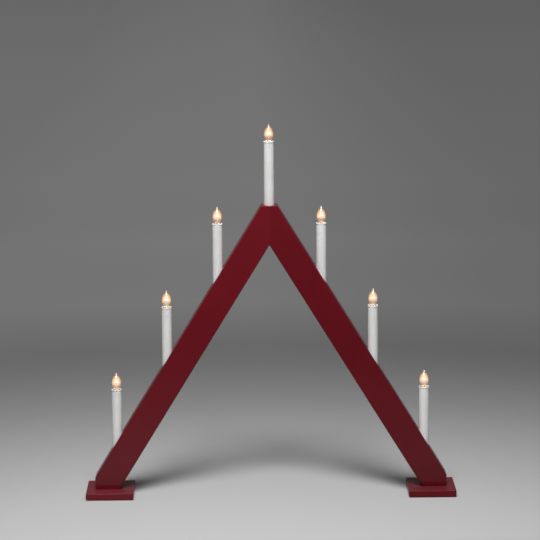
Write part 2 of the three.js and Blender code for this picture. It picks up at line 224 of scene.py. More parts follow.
# Node trees
class Graph:
    """Adds nodes to one tree and links them."""

    def __init__(self, tree):
        self.tree = tree

    def node(self, kind, inputs=None, **settings):
        node = self.tree.nodes.new(kind)
        for key, value in settings.items():
            setattr(node, key, value)
        for key, value in (inputs or {}).items():
            self.feed(node.inputs[key], value)
        return node

    def feed(self, socket, value):
        if isinstance(value, bpy.types.NodeSocket):
            self.tree.links.new(value, socket)
        else:
            socket.default_value = value

    def math(self, operation, *values, clamp=False):
        inputs = dict(enumerate(values))
        return self.node("ShaderNodeMath", inputs, operation=operation, use_clamp=clamp).outputs[0]

    def product(self, first, *others):
        for other in others:
            first = self.math("MULTIPLY", first, other)
        return first

    def vector(self, operation, *values):
        node = self.node("ShaderNodeVectorMath", dict(enumerate(values)), operation=operation)
        return node.outputs["Value" if operation in ("LENGTH", "DOT_PRODUCT") else "Vector"]

    def split(self, vector):
        return self.node("ShaderNodeSeparateXYZ", {0: vector}).outputs

    def joined(self, **parts):
        return self.node("ShaderNodeCombineXYZ", parts).outputs[0]

    def normal(self):
        return self.node("ShaderNodeNewGeometry").outputs["Normal"]

    def ramped(self, value, low, high, to_low=0.0, to_high=1.0, smooth=False):
        """Value between low and high, carried over to the range to_low to to_high."""
        inputs = dict(enumerate((value, low, high, to_low, to_high)))
        kind = "SMOOTHSTEP" if smooth else "LINEAR"
        return self.node("ShaderNodeMapRange", inputs, interpolation_type=kind).outputs[0]

    def noise(self, vector, scale, detail=2.0, roughness=0.5):
        inputs = {"Vector": vector, "Scale": scale, "Detail": detail, "Roughness": roughness}
        return self.node("ShaderNodeTexNoise", inputs).outputs[0]

    def mixed(self, factor, first, second):
        """One colour over another."""
        first, second = (
            shade if isinstance(shade, bpy.types.NodeSocket) else opaque(shade)
            for shade in (first, second)
        )
        inputs = {0: factor, 6: first, 7: second}
        return self.node("ShaderNodeMix", inputs, data_type="RGBA").outputs[2]

    def steps(self, factor, stops, reach=1.0):
        """A colour ramp with (position, shade) stops, whose positions end at `reach`."""
        node = self.node("ShaderNodeValToRGB", {"Fac": factor})
        elements = node.color_ramp.elements
        while len(elements) < len(stops):
            elements.new(0.5)
        for element, (position, shade) in zip(elements, stops):
            element.position = position / reach
            element.color = opaque(shade)
        return node.outputs[0]


def opaque(shade):
    """A shade, or a grey given as one number, with full alpha."""
    levels = (shade,) * 3 if isinstance(shade, float) else tuple(shade)[:3]
    return (*levels, 1.0)


def titled(key):
    """The name of a socket that a keyword stands for."""
    return key.replace("_", " ").title().replace("Ior", "IOR")


def new_tree(name, kind, inputs, outputs):
    """An empty node group with named sockets, its graph, and its input and output nodes."""
    tree = bpy.data.node_groups.new(name, kind)
    for label, socket_type, default in inputs:
        socket = tree.interface.new_socket(label, in_out="INPUT", socket_type=socket_type)
        if default is not None:
            socket.default_value = default
    for label, socket_type in outputs:
        tree.interface.new_socket(label, in_out="OUTPUT", socket_type=socket_type)
    graph = Graph(tree)
    return tree, graph, graph.node("NodeGroupInput").outputs, graph.node("NodeGroupOutput").inputs


VALUE = "NodeSocketFloat"
VECTOR = "NodeSocketVector"
GEOMETRY = "NodeSocketGeometry"
MATERIAL = "NodeSocketMaterial"
WHOLE = "NodeSocketInt"
OBJECT = "NodeSocketObject"


# Shader node groups
def effect_group(name, outputs, **values):
    """An empty shader group that takes a vector and some values."""
    inputs = [(titled(key), VALUE, value) for key, value in values.items()]
    inputs.insert(0, ("Vector", VECTOR, None))
    return new_tree(name, "ShaderNodeTree", inputs, [(label, VALUE) for label in outputs])


def relief_group():
    """Fine unevenness of a surface: round pebbling and long grain along the vector's X."""
    tree, graph, given, result = effect_group(
        "surface_relief", ["Height", "Streak"],
        pebble_scale=600.0, grain_scale=900.0, grain_length=40.0, grain=0.5,
    )
    pebble = graph.noise(given["Vector"], given["Pebble Scale"], 1.0)
    stretch = graph.joined(X=graph.math("DIVIDE", 1.0, given["Grain Length"]), Y=1.0, Z=1.0)
    along = graph.vector("MULTIPLY", given["Vector"], stretch)
    streak = graph.noise(along, given["Grain Scale"], 3.0, 0.6)
    both = graph.node("ShaderNodeMix", {0: given["Grain"], 2: pebble, 3: streak}, data_type="FLOAT")
    graph.feed(result["Height"], both.outputs[0])
    graph.feed(result["Streak"], streak)
    return tree


def mottle_group():
    """Slow cloudy change over a surface, from -Amount to Amount."""
    tree, graph, given, result = effect_group(
        "surface_mottle", ["Change"], scale=12.0, amount=0.1
    )
    cloud = graph.noise(given["Vector"], given["Scale"], 4.0, 0.6)
    swing = graph.ramped(cloud, 0.3, 0.7, -1.0, 1.0)
    graph.feed(result["Change"], graph.product(swing, given["Amount"]))
    return tree


def dust_group():
    """Dust that settles on what faces up: a thin film with thicker specks."""
    tree, graph, given, result = effect_group("settled_dust", ["Mask"], scale=260.0, amount=0.3)
    facing = graph.ramped(graph.split(graph.normal())["Z"], 0.35, 0.95, smooth=True)
    specks = graph.ramped(graph.noise(given["Vector"], given["Scale"], 5.0, 0.7), 0.42, 0.75)
    film = graph.math("ADD", graph.product(specks, 0.7), 0.3)
    graph.feed(result["Mask"], graph.product(facing, film, given["Amount"]))
    return tree


def edge_group():
    """Edges, where a coat is thinner and handling rubs; on the lacquer, the lighter edges are also
    a painted highlight along the arrises.
    """
    tree, graph, given, result = effect_group(
        "edge_wear", ["Mask"], radius=0.0012, scale=120.0, amount=0.5
    )
    soft = graph.node("ShaderNodeBevel", {"Radius": given["Radius"]}, samples=4).outputs[0]
    bend = graph.vector("DOT_PRODUCT", soft, graph.normal())
    edge = graph.ramped(bend, 0.995, 0.86, smooth=True)
    patchy = graph.ramped(graph.noise(given["Vector"], given["Scale"], 3.0), 0.3, 0.7, 0.5, 1.0)
    graph.feed(result["Mask"], graph.product(edge, patchy, given["Amount"]))
    return tree


# Materials
DUST = (0.5, 0.48, 0.45)


class Finish:
    """One material: a Principled shader fed with surface effects."""

    def __init__(self, name, base, roughness, turn=(0, 0, 0), metallic=0.0):
        self.material = bpy.data.materials.new(name)
        self.material.use_nodes = True
        self.material.diffuse_color = opaque(base)
        self.inputs = self.material.node_tree.nodes["Principled BSDF"].inputs
        self.graph = Graph(self.material.node_tree)
        self.place = self.graph.node("ShaderNodeTexCoord").outputs["Object"]
        mapping = {"Vector": self.place, "Rotation": turn}
        self.vector = self.graph.node("ShaderNodeMapping", mapping).outputs[0]
        self.shade = self.graph.node("ShaderNodeRGB").outputs[0]
        self.shade.default_value = opaque(base)
        self.base = base
        self.roughness = roughness
        self.set(metallic=metallic)

    def set(self, **values):
        for key, value in values.items():
            self.graph.feed(self.inputs[titled(key)], value)

    def effect(self, group, **values):
        inputs = {titled(key): value for key, value in values.items()}
        inputs["Vector"] = self.vector
        return self.graph.node("ShaderNodeGroup", inputs, node_tree=EFFECTS[group]).outputs

    def clouded(self, scale, dark, light):
        """A shade that goes slowly from dark to light, and the change, -0.5 to 0.5."""
        swing = self.effect("mottle", scale=scale, amount=0.5)["Change"]
        factor = self.graph.math("ADD", swing, 0.5, clamp=True)
        return self.graph.mixed(factor, dark, light), swing

    def mottled(self, scale, dark, light):
        """Clouds the base colour between a darker and a lighter multiple of it."""
        dark, light = scaled(self.base, dark), scaled(self.base, light)
        self.shade, swing = self.clouded(scale, dark, light)
        self.roughened(self.graph.product(swing, 0.25))

    def lighten_edges(self, lighter, level, radius=1.2 * MM):
        mask = self.effect("edge", amount=level, radius=radius)["Mask"]
        self.shade = self.graph.mixed(mask, self.shade, scaled(self.base, lighter))

    def dusty(self, level):
        mask = self.effect("dust", amount=level)["Mask"]
        self.shade = self.graph.mixed(mask, self.shade, DUST)
        self.roughened(self.graph.product(mask, 0.5))

    def roughened(self, change):
        self.roughness = self.graph.math("ADD", self.roughness, change, clamp=True)

    def toned(self, factor):
        self.shade = self.graph.vector("MULTIPLY", self.shade, factor)

    def bumped(self, height, strength, depth):
        inputs = {"Strength": strength, "Distance": depth, "Height": height}
        self.set(normal=self.graph.node("ShaderNodeBump", inputs).outputs[0])

    def uneven(self, pebble, grain, grain_length, share, strength, depth):
        """Bumps the surface by the relief; depth is in metres."""
        relief = self.effect(
            "relief", pebble_scale=pebble, grain_scale=grain, grain_length=grain_length, grain=share
        )
        self.bumped(relief["Height"], strength, depth)
        return relief["Streak"]

    def done(self):
        self.set(base_color=self.shade, roughness=self.roughness)
        return self.material


def scaled(shade, factor):
    return tuple(min(1.0, channel * factor) for channel in tuple(shade)[:3])


def lacquer(name, base, turn=(0, 0, 0), gloss=0.22, relief=0.10, edge_lightening=0.5):
    """Glossy dark red over wood, whose grain still shows a little."""
    finish = Finish(name, base, 0.34, turn)
    graph = finish.graph
    finish.mottled(9.0, 0.93, 1.07)
    streak = finish.uneven(420.0, 700.0, 45.0, 0.45, relief, 0.4 * MM)
    grain = graph.ramped(streak, 0.35, 0.7, 0.0, 0.16)
    finish.shade = graph.mixed(grain, finish.shade, scaled(base, 0.72))
    # Lighter edges: partly rubbed edges, partly a painted highlight along the arrises.
    finish.lighten_edges(1.7, edge_lightening)
    finish.dusty(0.05)
    # Painted light: the lacquer is lighter towards the top and darker towards the floor.
    finish.toned(graph.ramped(graph.split(finish.place)["Z"], 0.05, 0.47, 0.94, 1.24))
    finish.set(specular_ior_level=0.10, coat_weight=gloss, coat_roughness=0.09)
    return finish.done()


def below_rim(finish):
    """Depth below the rim of the nearest candle."""
    graph = finish.graph
    place = graph.split(finish.place)
    spacing = candle_axis(5).x
    fall = (rim_top(5) - rim_top(6)) / spacing
    axis = graph.math("SNAP", graph.math("ADD", place["X"], spacing / 2), spacing)
    drop = graph.product(graph.math("ABSOLUTE", axis), fall)
    rim = graph.math("SUBTRACT", rim_top(5) + fall * spacing, drop)
    return graph.math("SUBTRACT", rim, place["Z"])


def tube_plastic(base):
    """White extruded plastic with faint lines along the tube, with painted light: lighter lower
    down and just under the rim.
    """
    finish = Finish("candle_white", base, 0.42, (0, math.radians(-90), 0))
    graph = finish.graph
    finish.mottled(40.0, 0.97, 1.02)
    finish.uneven(900.0, 2400.0, 60.0, 0.7, 0.08, 0.2 * MM)
    finish.dusty(0.10)
    below = below_rim(finish)
    # Painted light: the tube is lighter lower down, and lighter still just under the rim, where it
    # hides the rim's shadow.
    finish.toned(graph.product(
        graph.ramped(below, 8 * MM, 85 * MM, 0.95, 1.12),
        graph.ramped(below, 2.7 * MM, 4.2 * MM, 1.25, 1.0),
    ))
    finish.set(subsurface_weight=0.5, subsurface_radius=(0.0052, 0.0048, 0.0046))
    return finish.done()


def holder_plastic(base):
    """Moulded plastic with painted shade in the recess and on the rim's top, and a lip painted a
    little lighter.
    """
    finish = Finish("holder_white", base, 0.5)
    graph = finish.graph
    finish.mottled(90.0, 0.95, 1.02)
    finish.uneven(1500.0, 1500.0, 4.0, 0.2, 0.10, 0.2 * MM)
    finish.lighten_edges(1.1, 0.4, 0.6 * MM)
    place = graph.split(finish.vector)
    half = candle_axis(5).x / 2
    across = graph.math("WRAP", place["X"], half, -half)
    radius = graph.vector("LENGTH", graph.joined(X=across, Y=place["Y"]))
    rim = size_of("lamp_holder_4").x / 2
    # Painted shade: the recess and the rim's top are darkened, and the lip is painted a little
    # lighter.
    finish.toned(graph.math(
        "ADD", graph.ramped(radius, 6.9 * MM, 7.6 * MM, 0.36, 0.52),
        graph.ramped(radius, rim - 0.6 * MM, rim - 0.45 * MM, 0.0, 0.58)))
    finish.set(specular_ior_level=0.12)
    return finish.done()


def plain(name, base, roughness, mottle, relief, edge_lightening=None, metallic=0.0):
    """A finish of clouds, relief and, where it has them, rubbed edges.

    mottle: scale, darkest and lightest multiple of the base. relief: scales of pebbles and grain,
    length and share of the grain, strength, depth. wear: multiple of the base, level, radius.
    """
    finish = Finish(name, base, roughness, metallic=metallic)
    finish.mottled(*mottle)
    finish.uneven(*relief)
    if edge_lightening:
        finish.lighten_edges(*edge_lightening)
    return finish.done()


def beech(base=(0.57, 0.36, 0.17)):
    finish = Finish("beech", base, 0.62)
    finish.mottled(110.0, 0.82, 1.1)
    streak = finish.uneven(900.0, 1600.0, 22.0, 0.8, 0.30, 0.3 * MM)
    rays = finish.graph.ramped(streak, 0.45, 0.7, 0.0, 0.5)
    finish.shade = finish.graph.mixed(rays, finish.shade, scaled(base, 0.55))
    return finish.done()


def felt(base=(0.020, 0.014, 0.015)):
    finish = Finish("felt", base, 0.95)
    finish.mottled(700.0, 0.5, 2.2)
    finish.uneven(2200.0, 2600.0, 6.0, 0.5, 0.8, 0.6 * MM)
    finish.set(sheen_weight=0.3)
    return finish.done()


def glowing(name, base, shade, strength):
    """Hot wire: a metal that shines by itself, a little more in places."""
    finish = Finish(name, base, 0.4, metallic=1.0)
    finish.mottled(900.0, 0.7, 1.2)
    hot, _ = finish.clouded(700.0, scaled(shade, 0.9), shade)
    finish.set(emission_color=hot, emission_strength=strength)
    return finish.done()


# Painted glow in the lamp's glass by its height over the rim: round it, then in its middle
GLASS_FOOT = [(0.0, 0.04), (0.15, 0.045), (0.22, 0.06)]
GLASS_BELLY = [
    (0.28, 0.16), (0.34, 0.235), (0.46, 0.235), (0.62, 0.19), (0.73, 0.17), (0.80, 0.10),
]
GLASS_TIP = [(0.90, 0.03), (1.0, 0.03)]
GLASS_CORE = [
    (0.0, (0.08, 0.05, 0.035)), (0.16, (0.09, 0.045, 0.025)), (0.22, (0.09, 0.045, 0.022)),
    (0.28, (0.16, 0.11, 0.07)), (0.33, (0.20, 0.19, 0.155)), (0.56, (0.20, 0.20, 0.175)),
    (0.64, (0.20, 0.17, 0.11)), (0.73, (0.20, 0.17, 0.12)), (0.80, (0.21, 0.185, 0.17)),
    (0.88, (0.18, 0.15, 0.14)), (0.90, (0.14, 0.12, 0.11)), (1.0, (0.10, 0.085, 0.08)),
]


def lamp_glass(name, candle):
    """Clear glass with a painted glow of its own, standing in for the filament's light seen in it.
    """
    finish = Finish(name, (0.98, 0.95, 0.92), 0.03)
    graph = finish.graph
    finish.set(transmission_weight=1.0, ior=1.46)
    above = graph.math("SUBTRACT", graph.split(finish.vector)["Z"], rim_top(candle))
    share = graph.ramped(above, 0.0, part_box(f"bulb_glass_{candle}")[1].z - rim_top(candle))
    glow = settings("finishes").glow
    amber = (glow[0], glow[1] * 0.76, glow[2] * 0.25)
    sides = graph.steps(share, [
        *((height, scaled(glow, level)) for height, level in GLASS_FOOT),
        *((height, scaled(amber, level)) for height, level in GLASS_BELLY),
        *((height, scaled(glow, level)) for height, level in GLASS_TIP),
    ])
    # Painted glow: a white core where the glass faces the view, fading to amber at its sides.
    level = graph.vector("NORMALIZE", graph.vector("MULTIPLY", graph.normal(), (1.0, 1.0, 0.0)))
    weight = graph.node("ShaderNodeLayerWeight", {"Blend": 0.5, "Normal": level})
    turned_away = weight.outputs["Facing"]
    width = graph.ramped(share, 0.5, 0.74, 0.24, 0.09)
    core = graph.ramped(turned_away, width, graph.product(width, 0.4), smooth=True)
    fade = graph.ramped(turned_away, 0.4, 0.95, 1.0, 0.28)
    light = graph.mixed(core, graph.vector("MULTIPLY", sides, fade), graph.steps(share, GLASS_CORE))
    # The painted glow is full only to the camera and through glass, and lights the rest little.
    paths = graph.node("ShaderNodeLightPath").outputs
    seen = graph.math("MAXIMUM", paths["Is Camera Ray"], paths["Is Transmission Ray"])
    finish.set(emission_color=light, emission_strength=graph.ramped(seen, 0.0, 1.0, 0.15, 1.0))
    finish.shade, ripple = finish.clouded(300.0, (0.97, 0.93, 0.88), (1.0, 0.97, 0.94))
    finish.roughness = graph.ramped(share, 0.14, 0.34, 0.02, 0.16, smooth=True)
    finish.roughened(graph.product(ripple, 0.02))
    finish.bumped(ripple, 0.05, 0.3 * MM)
    return finish.done()


EFFECTS = {}
PAINTS = {}


def leg_turn(side):
    """Rotation that lays a pattern's X along a leg; side is -1 or 1."""
    return (0.0, -side * settings("legs").slope, 0.0)


def make_materials():
    shades = settings("finishes")
    EFFECTS.update(
        relief=relief_group(), mottle=mottle_group(), dust=dust_group(), edge=edge_group()
    )
    PAINTS.update(
        # Painted light and shade: the left leg and its cover strip are a lighter copy of the
        # right's lacquer, and the left plate a lighter copy of the right plate.
        lacquer_left=lacquer("lacquer_left", scaled(shades.lacquer, 1.13), leg_turn(-1), 0.34),
        lacquer_right=lacquer("lacquer_right", shades.lacquer, leg_turn(1)),
        lacquer_foot_left=lacquer(
            "lacquer_foot_left", shades.left_foot_painted_lighter, gloss=0.24, relief=0.04, edge_lightening=0.25),
        lacquer_foot_right=lacquer(
            "lacquer_foot_right", shades.right_foot_painted_darker, gloss=0.09, relief=0.04, edge_lightening=0.25),
        tube=tube_plastic(shades.tube),
        holder=holder_plastic(shades.holder),
        brass=plain(
            "brass_sheet", shades.brass, 0.24, (240.0, 0.72, 1.1),
            (2500.0, 3000.0, 12.0, 0.5, 0.08, 0.1 * MM), (1.3, 0.5, 0.3 * MM), metallic=1.0),
        steel=plain(
            "zinc_steel", (0.60, 0.61, 0.62), 0.30, (300.0, 0.7, 1.15),
            (1800.0, 2600.0, 10.0, 0.5, 0.10, 0.1 * MM), (1.3, 0.6, 0.3 * MM), metallic=1.0),
        insulator=plain(
            "black_insulator", (0.012, 0.011, 0.014), 0.16, (500.0, 0.6, 2.0),
            (1500.0, 1500.0, 2.0, 0.2, 0.15, 0.1 * MM)),
        nylon=plain(
            "white_nylon", (0.72, 0.71, 0.68), 0.46, (150.0, 0.93, 1.03),
            (1400.0, 1800.0, 5.0, 0.3, 0.16, 0.2 * MM), (1.12, 0.4, 0.6 * MM)),
        sheath=plain(
            "wire_sheath", (0.62, 0.61, 0.57), 0.55, (60.0, 0.88, 1.03),
            (1600.0, 2600.0, 30.0, 0.5, 0.12, 0.2 * MM)),
        beech=beech(),
        felt=felt(),
        lead=glowing("lead_wire", (0.55, 0.50, 0.45), scaled(shades.glow, 0.9), 0.35),
        coil=glowing("hot_filament", (0.5, 0.45, 0.4), shades.glow, shades.glow_strength),
    )


def settings(name):
    return getattr(bpy.context.scene, f"candlestick_{name}")


# Mesh tools
def placed(name, data):
    thing = bpy.data.objects.new(name, data)
    bpy.context.scene.collection.objects.link(thing)
    return thing


def shaped(name, shape):
    """The object made from a bmesh."""
    mesh = bpy.data.meshes.new(name)
    shape.to_mesh(mesh)
    shape.free()
    return placed(name, mesh)


def settled(thing):
    """The object's mesh with its modifiers worked in, on the object without them."""
    bpy.context.view_layer.update()
    whole = thing.evaluated_get(bpy.context.evaluated_depsgraph_get())
    mesh = bpy.data.meshes.new_from_object(whole)
    mesh.name = thing.name
    thing.modifiers.clear()
    thing.data = mesh
    return thing


def piece(thing, paint, slot, body, *nodes):
    """Shades a finished piece, paints it and ties it to its body."""
    mesh = thing.data
    mesh.materials.clear()
    mesh.materials.append(PAINTS[paint])
    mesh.polygons.foreach_set("material_index", [0] * len(mesh.polygons))
    mesh.shade_smooth()
    mesh.set_sharp_from_angle(angle=SHARP)
    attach(thing, body)
    if nodes:
        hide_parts(*nodes)
    return thing


def flat_sided(thing):
    """Keeps broad faces flat beside their rounded edges."""
    weighted = thing.modifiers.new("flat faces", "WEIGHTED_NORMAL")
    weighted.keep_sharp = True
    weighted.weight = 100


def in_mm(points):
    return [(across * MM, height * MM) for across, height in points]


def arc(x, z, radius, start, sweep, steps):
    """Points along an arc, its ends included."""
    angles = [start + sweep * i / steps for i in range(steps + 1)]
    return [(x + radius * math.cos(a), z + radius * math.sin(a)) for a in angles]


def rounded(points, radii, steps=5):
    """A closed outline with its corners rounded by the given radii."""
    outline = []
    for i, (point, radius) in enumerate(zip(points, radii)):
        corner = Vector(point)
        if not radius:
            outline.append(tuple(corner))
            continue
        before = (Vector(points[i - 1]) - corner).normalized()
        after = (Vector(points[(i + 1) % len(points)]) - corner).normalized()
        half = before.angle(after) / 2
        centre = corner + (before + after).normalized() * radius / math.sin(half)
        start = corner + before * radius / math.tan(half) - centre
        end = corner + after * radius / math.tan(half) - centre
        begin = math.atan2(start.y, start.x)
        sweep = math.remainder(math.atan2(end.y, end.x) - begin, math.tau)
        outline += arc(centre.x, centre.y, radius, begin, sweep, steps)
    return outline


def turned(profile, sides, place=(0, 0, 0), closed=False):
    """Turns (radius, height) points about an upright axis through place."""
    shape = bmesh.new()
    across, deep, up = place
    angles = [math.tau * i / sides for i in range(sides)]
    rings = []
    for radius, height in profile:
        if radius < ON_AXIS:
            ring = [(across, deep)]
        else:
            ring = [(across + radius * math.cos(a), deep + radius * math.sin(a)) for a in angles]
        rings.append([shape.verts.new((x, y, up + height)) for x, y in ring])
    pairs = list(zip(rings, rings[1:]))
    if closed:
        pairs.append((rings[-1], rings[0]))
    for low, high in pairs:
        for i in range(sides):
            j = (i + 1) % sides
            wide, narrow = len(low), len(high)
            corners = [low[i % wide], low[j % wide], high[j % narrow], high[i % narrow]]
            corners = list(dict.fromkeys(corners))
            if len(corners) > 2:
                shape.faces.new(corners)
    bmesh.ops.recalc_face_normals(shape, faces=shape.faces)
    return shape


def flowing(points, steps=5):
    """A smooth line through the points."""
    line = []
    ends = [points[0], *points, points[-1]]
    for i in range(1, len(ends) - 2):
        a, b, c, d = (Vector(p) for p in ends[i - 1:i + 3])
        for step in range(steps):
            t = step / steps
            line.append(tuple(0.5 * (
                2 * b + (c - a) * t + (2 * a - 5 * b + 4 * c - d) * t ** 2
                + (3 * b - a - 3 * c + d) * t ** 3
            )))
    line.append(tuple(points[-1]))
    return line


def divided(profile, longest):
    """The profile with its upright runs cut into lengths of at most `longest`."""
    finer = []
    for low, high in zip(profile, profile[1:] + profile[:1]):
        parts = max(1, math.ceil(abs(high[1] - low[1]) / longest - 1e-6))
        for part in range(parts):
            t = part / parts
            finer.append((low[0] + (high[0] - low[0]) * t, low[1] + (high[1] - low[1]) * t))
    return finer


def prism(outline, front, back):
    """An outline of (x, z) points made solid from front to back along Y."""
    shape = bmesh.new()
    near, far = ([shape.verts.new((x, y, z)) for x, z in outline] for y in (front, back))
    shape.faces.new(near)
    shape.faces.new(far[::-1])
    for i in range(len(outline)):
        j = (i + 1) % len(outline)
        shape.faces.new((near[i], far[i], far[j], near[j]))
    bmesh.ops.recalc_face_normals(shape, faces=shape.faces)
    return shape


def slab(outline, low, high):
    """An outline of (x, y) points made solid from low to high along Z."""
    shape = prism(outline, low, high)
    shape.transform(Matrix(((1, 0, 0, 0), (0, 0, 1, 0), (0, 1, 0, 0), (0, 0, 0, 1))))
    bmesh.ops.recalc_face_normals(shape, faces=shape.faces)
    return shape


def level_edges(shape, axis):
    """The edges that lie square to an axis: 0, 1 or 2."""
    return [e for e in shape.edges if e.verts[0].co[axis] == e.verts[1].co[axis]]


def eased(shape, edges, radius, segments=3):
    bmesh.ops.bevel(
        shape, geom=edges, offset=radius, segments=segments, profile=0.5, affect="EDGES",
        offset_type="OFFSET", clamp_overlap=True,
    )
    return shape


def trimmed(shape, point, outward):
    """Cuts off what lies on the outward side of a plane, and closes the cut."""
    geometry = shape.verts[:] + shape.edges[:] + shape.faces[:]
    bmesh.ops.bisect_plane(
        shape, geom=geometry, dist=ON_AXIS, plane_co=point, plane_no=outward, clear_outer=True
    )
    open_edges = [edge for edge in shape.edges if edge.is_boundary]
    bmesh.ops.holes_fill(shape, edges=open_edges, sides=0)
    return shape


def mirrored(shape):
    """The shape turned over to the left side."""
    shape.transform(Matrix.Scale(-1, 4, (1, 0, 0)))
    bmesh.ops.reverse_faces(shape, faces=shape.faces)
    return shape


def tidied(mesh):
    """Joins doubled points and turns every face outwards."""
    shape = bmesh.new()
    shape.from_mesh(mesh)
    bmesh.ops.remove_doubles(shape, verts=shape.verts, dist=DOUBLED)
    bmesh.ops.dissolve_degenerate(shape, edges=shape.edges, dist=NO_LENGTH)
    bmesh.ops.recalc_face_normals(shape, faces=shape.faces)
    shape.to_mesh(mesh)
    shape.free()


def cut_from(name, solid, cutters):
    """A solid less its cutters, as an object."""
    thing = shaped(name, solid)
    helpers = [shaped("cutter", cutter) for cutter in cutters]
    for helper in helpers:
        modifier = thing.modifiers.new("cut", "BOOLEAN")
        modifier.operation = "DIFFERENCE"
        modifier.solver = "EXACT"
        modifier.object = helper
    settled(thing)
    for helper in helpers:
        bpy.data.objects.remove(helper)
    tidied(thing.data)
    return thing


# Geometry Nodes
def geometry_tree(name, *inputs):
    """An empty geometry group that takes geometry, the given inputs and a material."""
    inputs = [("Geometry", GEOMETRY, None), *inputs, ("Material", MATERIAL, None)]
    return new_tree(name, "GeometryNodeTree", inputs, [("Geometry", GEOMETRY)])


def grown(thing, kind, paint, **values):
    """Runs a tree on the object and keeps the result as a plain mesh."""
    tree = TREES[kind]
    modifier = thing.modifiers.new(tree.name, "NODES")
    modifier.node_group = tree
    values = {titled(key): value for key, value in values.items()}
    values["Material"] = PAINTS[paint]
    for item in tree.interface.items_tree:
        if item.in_out == "INPUT" and item.name in values:
            modifier[item.identifier] = values[item.name]
    return settled(thing)


def strung(shape, points):
    """Joins points by a run of edges."""
    knots = [shape.verts.new(point) for point in points]
    for pair in zip(knots, knots[1:]):
        shape.edges.new(pair)


def ended(tree, graph, given, result, geometry):
    """Ends a tree in real geometry with its material."""
    real = graph.node("GeometryNodeRealizeInstances", {0: geometry}).outputs[0]
    inputs = {"Geometry": real, "Material": given["Material"]}
    graph.feed(result[0], graph.node("GeometryNodeSetMaterial", inputs).outputs[0])
    return tree


def piped(graph, curve, radius, sides):
    """A round wire along a curve, closed at its ends."""
    ring = graph.node("GeometryNodeCurvePrimitiveCircle", {"Resolution": sides, "Radius": radius})
    inputs = {"Curve": curve, "Profile Curve": ring.outputs[0], "Fill Caps": True}
    return graph.node("GeometryNodeCurveToMesh", inputs).outputs[0]


def thread_tree():
    """Rolls a screw thread into a turned shell."""
    tree, graph, given, result = geometry_tree(
        "rolled_thread", ("Centre", VECTOR, None), ("Pitch", VALUE, 1.81 * MM),
        ("Depth", VALUE, 0.45 * MM), ("Bottom", VALUE, 0.0), ("Top", VALUE, 10 * MM),
        ("Run Out", VALUE, 1 * MM),
    )
    place = graph.node("GeometryNodeInputPosition").outputs[0]
    split = graph.split(graph.vector("SUBTRACT", place, given["Centre"]))
    angle = graph.math("ARCTAN2", split["Y"], split["X"])
    turns = graph.math("DIVIDE", split["Z"], given["Pitch"])
    phase = graph.math("SUBTRACT", graph.product(turns, math.tau), angle)
    wave = graph.product(graph.math("SUBTRACT", 1.0, graph.math("COSINE", phase)), 0.5)
    inner_low = graph.math("ADD", given["Bottom"], given["Run Out"])
    inner_high = graph.math("SUBTRACT", given["Top"], given["Run Out"])
    rise = graph.ramped(split["Z"], given["Bottom"], inner_low, smooth=True)
    fall = graph.ramped(split["Z"], inner_high, given["Top"], 1.0, 0.0, smooth=True)
    depth = graph.product(rise, fall, given["Depth"])
    outward = graph.vector("NORMALIZE", graph.joined(X=split["X"], Y=split["Y"]))
    shift = graph.vector("MULTIPLY", outward, graph.product(wave, depth, -1.0))
    inputs = {"Geometry": given["Geometry"], "Offset": shift}
    moved = graph.node("GeometryNodeSetPosition", inputs).outputs[0]
    return ended(tree, graph, given, result, moved)


def coil_tree():
    """Winds a filament into a coil that hangs in an arc between its two ends."""
    tree, graph, given, result = geometry_tree(
        "filament_coil", ("Centre", VECTOR, None), ("Spread", VALUE, 2.8 * MM),
        ("Rise", VALUE, 1.5 * MM), ("Coil Radius", VALUE, 0.4 * MM),
        ("Wire Radius", VALUE, 0.08 * MM), ("Turns", VALUE, 14.0),
    )
    spiral = graph.node("GeometryNodeCurveSpiral", {
        "Resolution": 12,
        "Rotations": given["Turns"],
        "Start Radius": given["Coil Radius"],
        "End Radius": given["Coil Radius"],
        "Height": graph.product(given["Spread"], 2.0),
    }).outputs[0]
    split = graph.split(graph.node("GeometryNodeInputPosition").outputs[0])
    along = graph.math("SUBTRACT", graph.math("DIVIDE", split["Z"], given["Spread"]), 1.0)
    arch = graph.math("SUBTRACT", 1.0, graph.product(along, along))
    lift = graph.product(arch, given["Rise"])
    bent = graph.joined(
        X=graph.product(along, given["Spread"]), Y=split["X"], Z=graph.math("ADD", split["Y"], lift)
    )
    inputs = {"Geometry": spiral, "Position": graph.vector("ADD", bent, given["Centre"])}
    curve = graph.node("GeometryNodeSetPosition", inputs).outputs[0]
    return ended(tree, graph, given, result, piped(graph, curve, given["Wire Radius"], 6))


def row_tree():
    """Sets fasteners in a straight row."""
    tree, graph, given, result = geometry_tree(
        "fastener_row", ("Fastener", OBJECT, None), ("Start", VECTOR, None),
        ("End", VECTOR, None), ("Count", WHOLE, 2),
    )
    inputs = {"Count": given["Count"], "Start Location": given["Start"], "Offset": given["End"]}
    line = graph.node("GeometryNodeMeshLine", inputs, mode="END_POINTS").outputs[0]
    fastener = {"Object": given["Fastener"]}
    shape = graph.node("GeometryNodeObjectInfo", fastener, transform_space="ORIGINAL")
    inputs = {"Points": line, "Instance": shape.outputs["Geometry"]}
    copies = graph.node("GeometryNodeInstanceOnPoints", inputs).outputs[0]
    return ended(tree, graph, given, result, copies)


def lead_tree():
    """Draws a round sheath along runs of points, with its bends eased."""
    tree, graph, given, result = geometry_tree(
        "lead_run", ("Bend Radius", VALUE, 4 * MM), ("Sheath Radius", VALUE, 2 * MM)
    )
    curve = graph.node("GeometryNodeMeshToCurve", {0: given["Geometry"]}).outputs[0]
    inputs = {"Curve": curve, "Radius": given["Bend Radius"]}
    bent = graph.node("GeometryNodeFilletCurve", inputs).outputs[0]
    return ended(tree, graph, given, result, piped(graph, bent, given["Sheath Radius"], 14))


TREES = {}


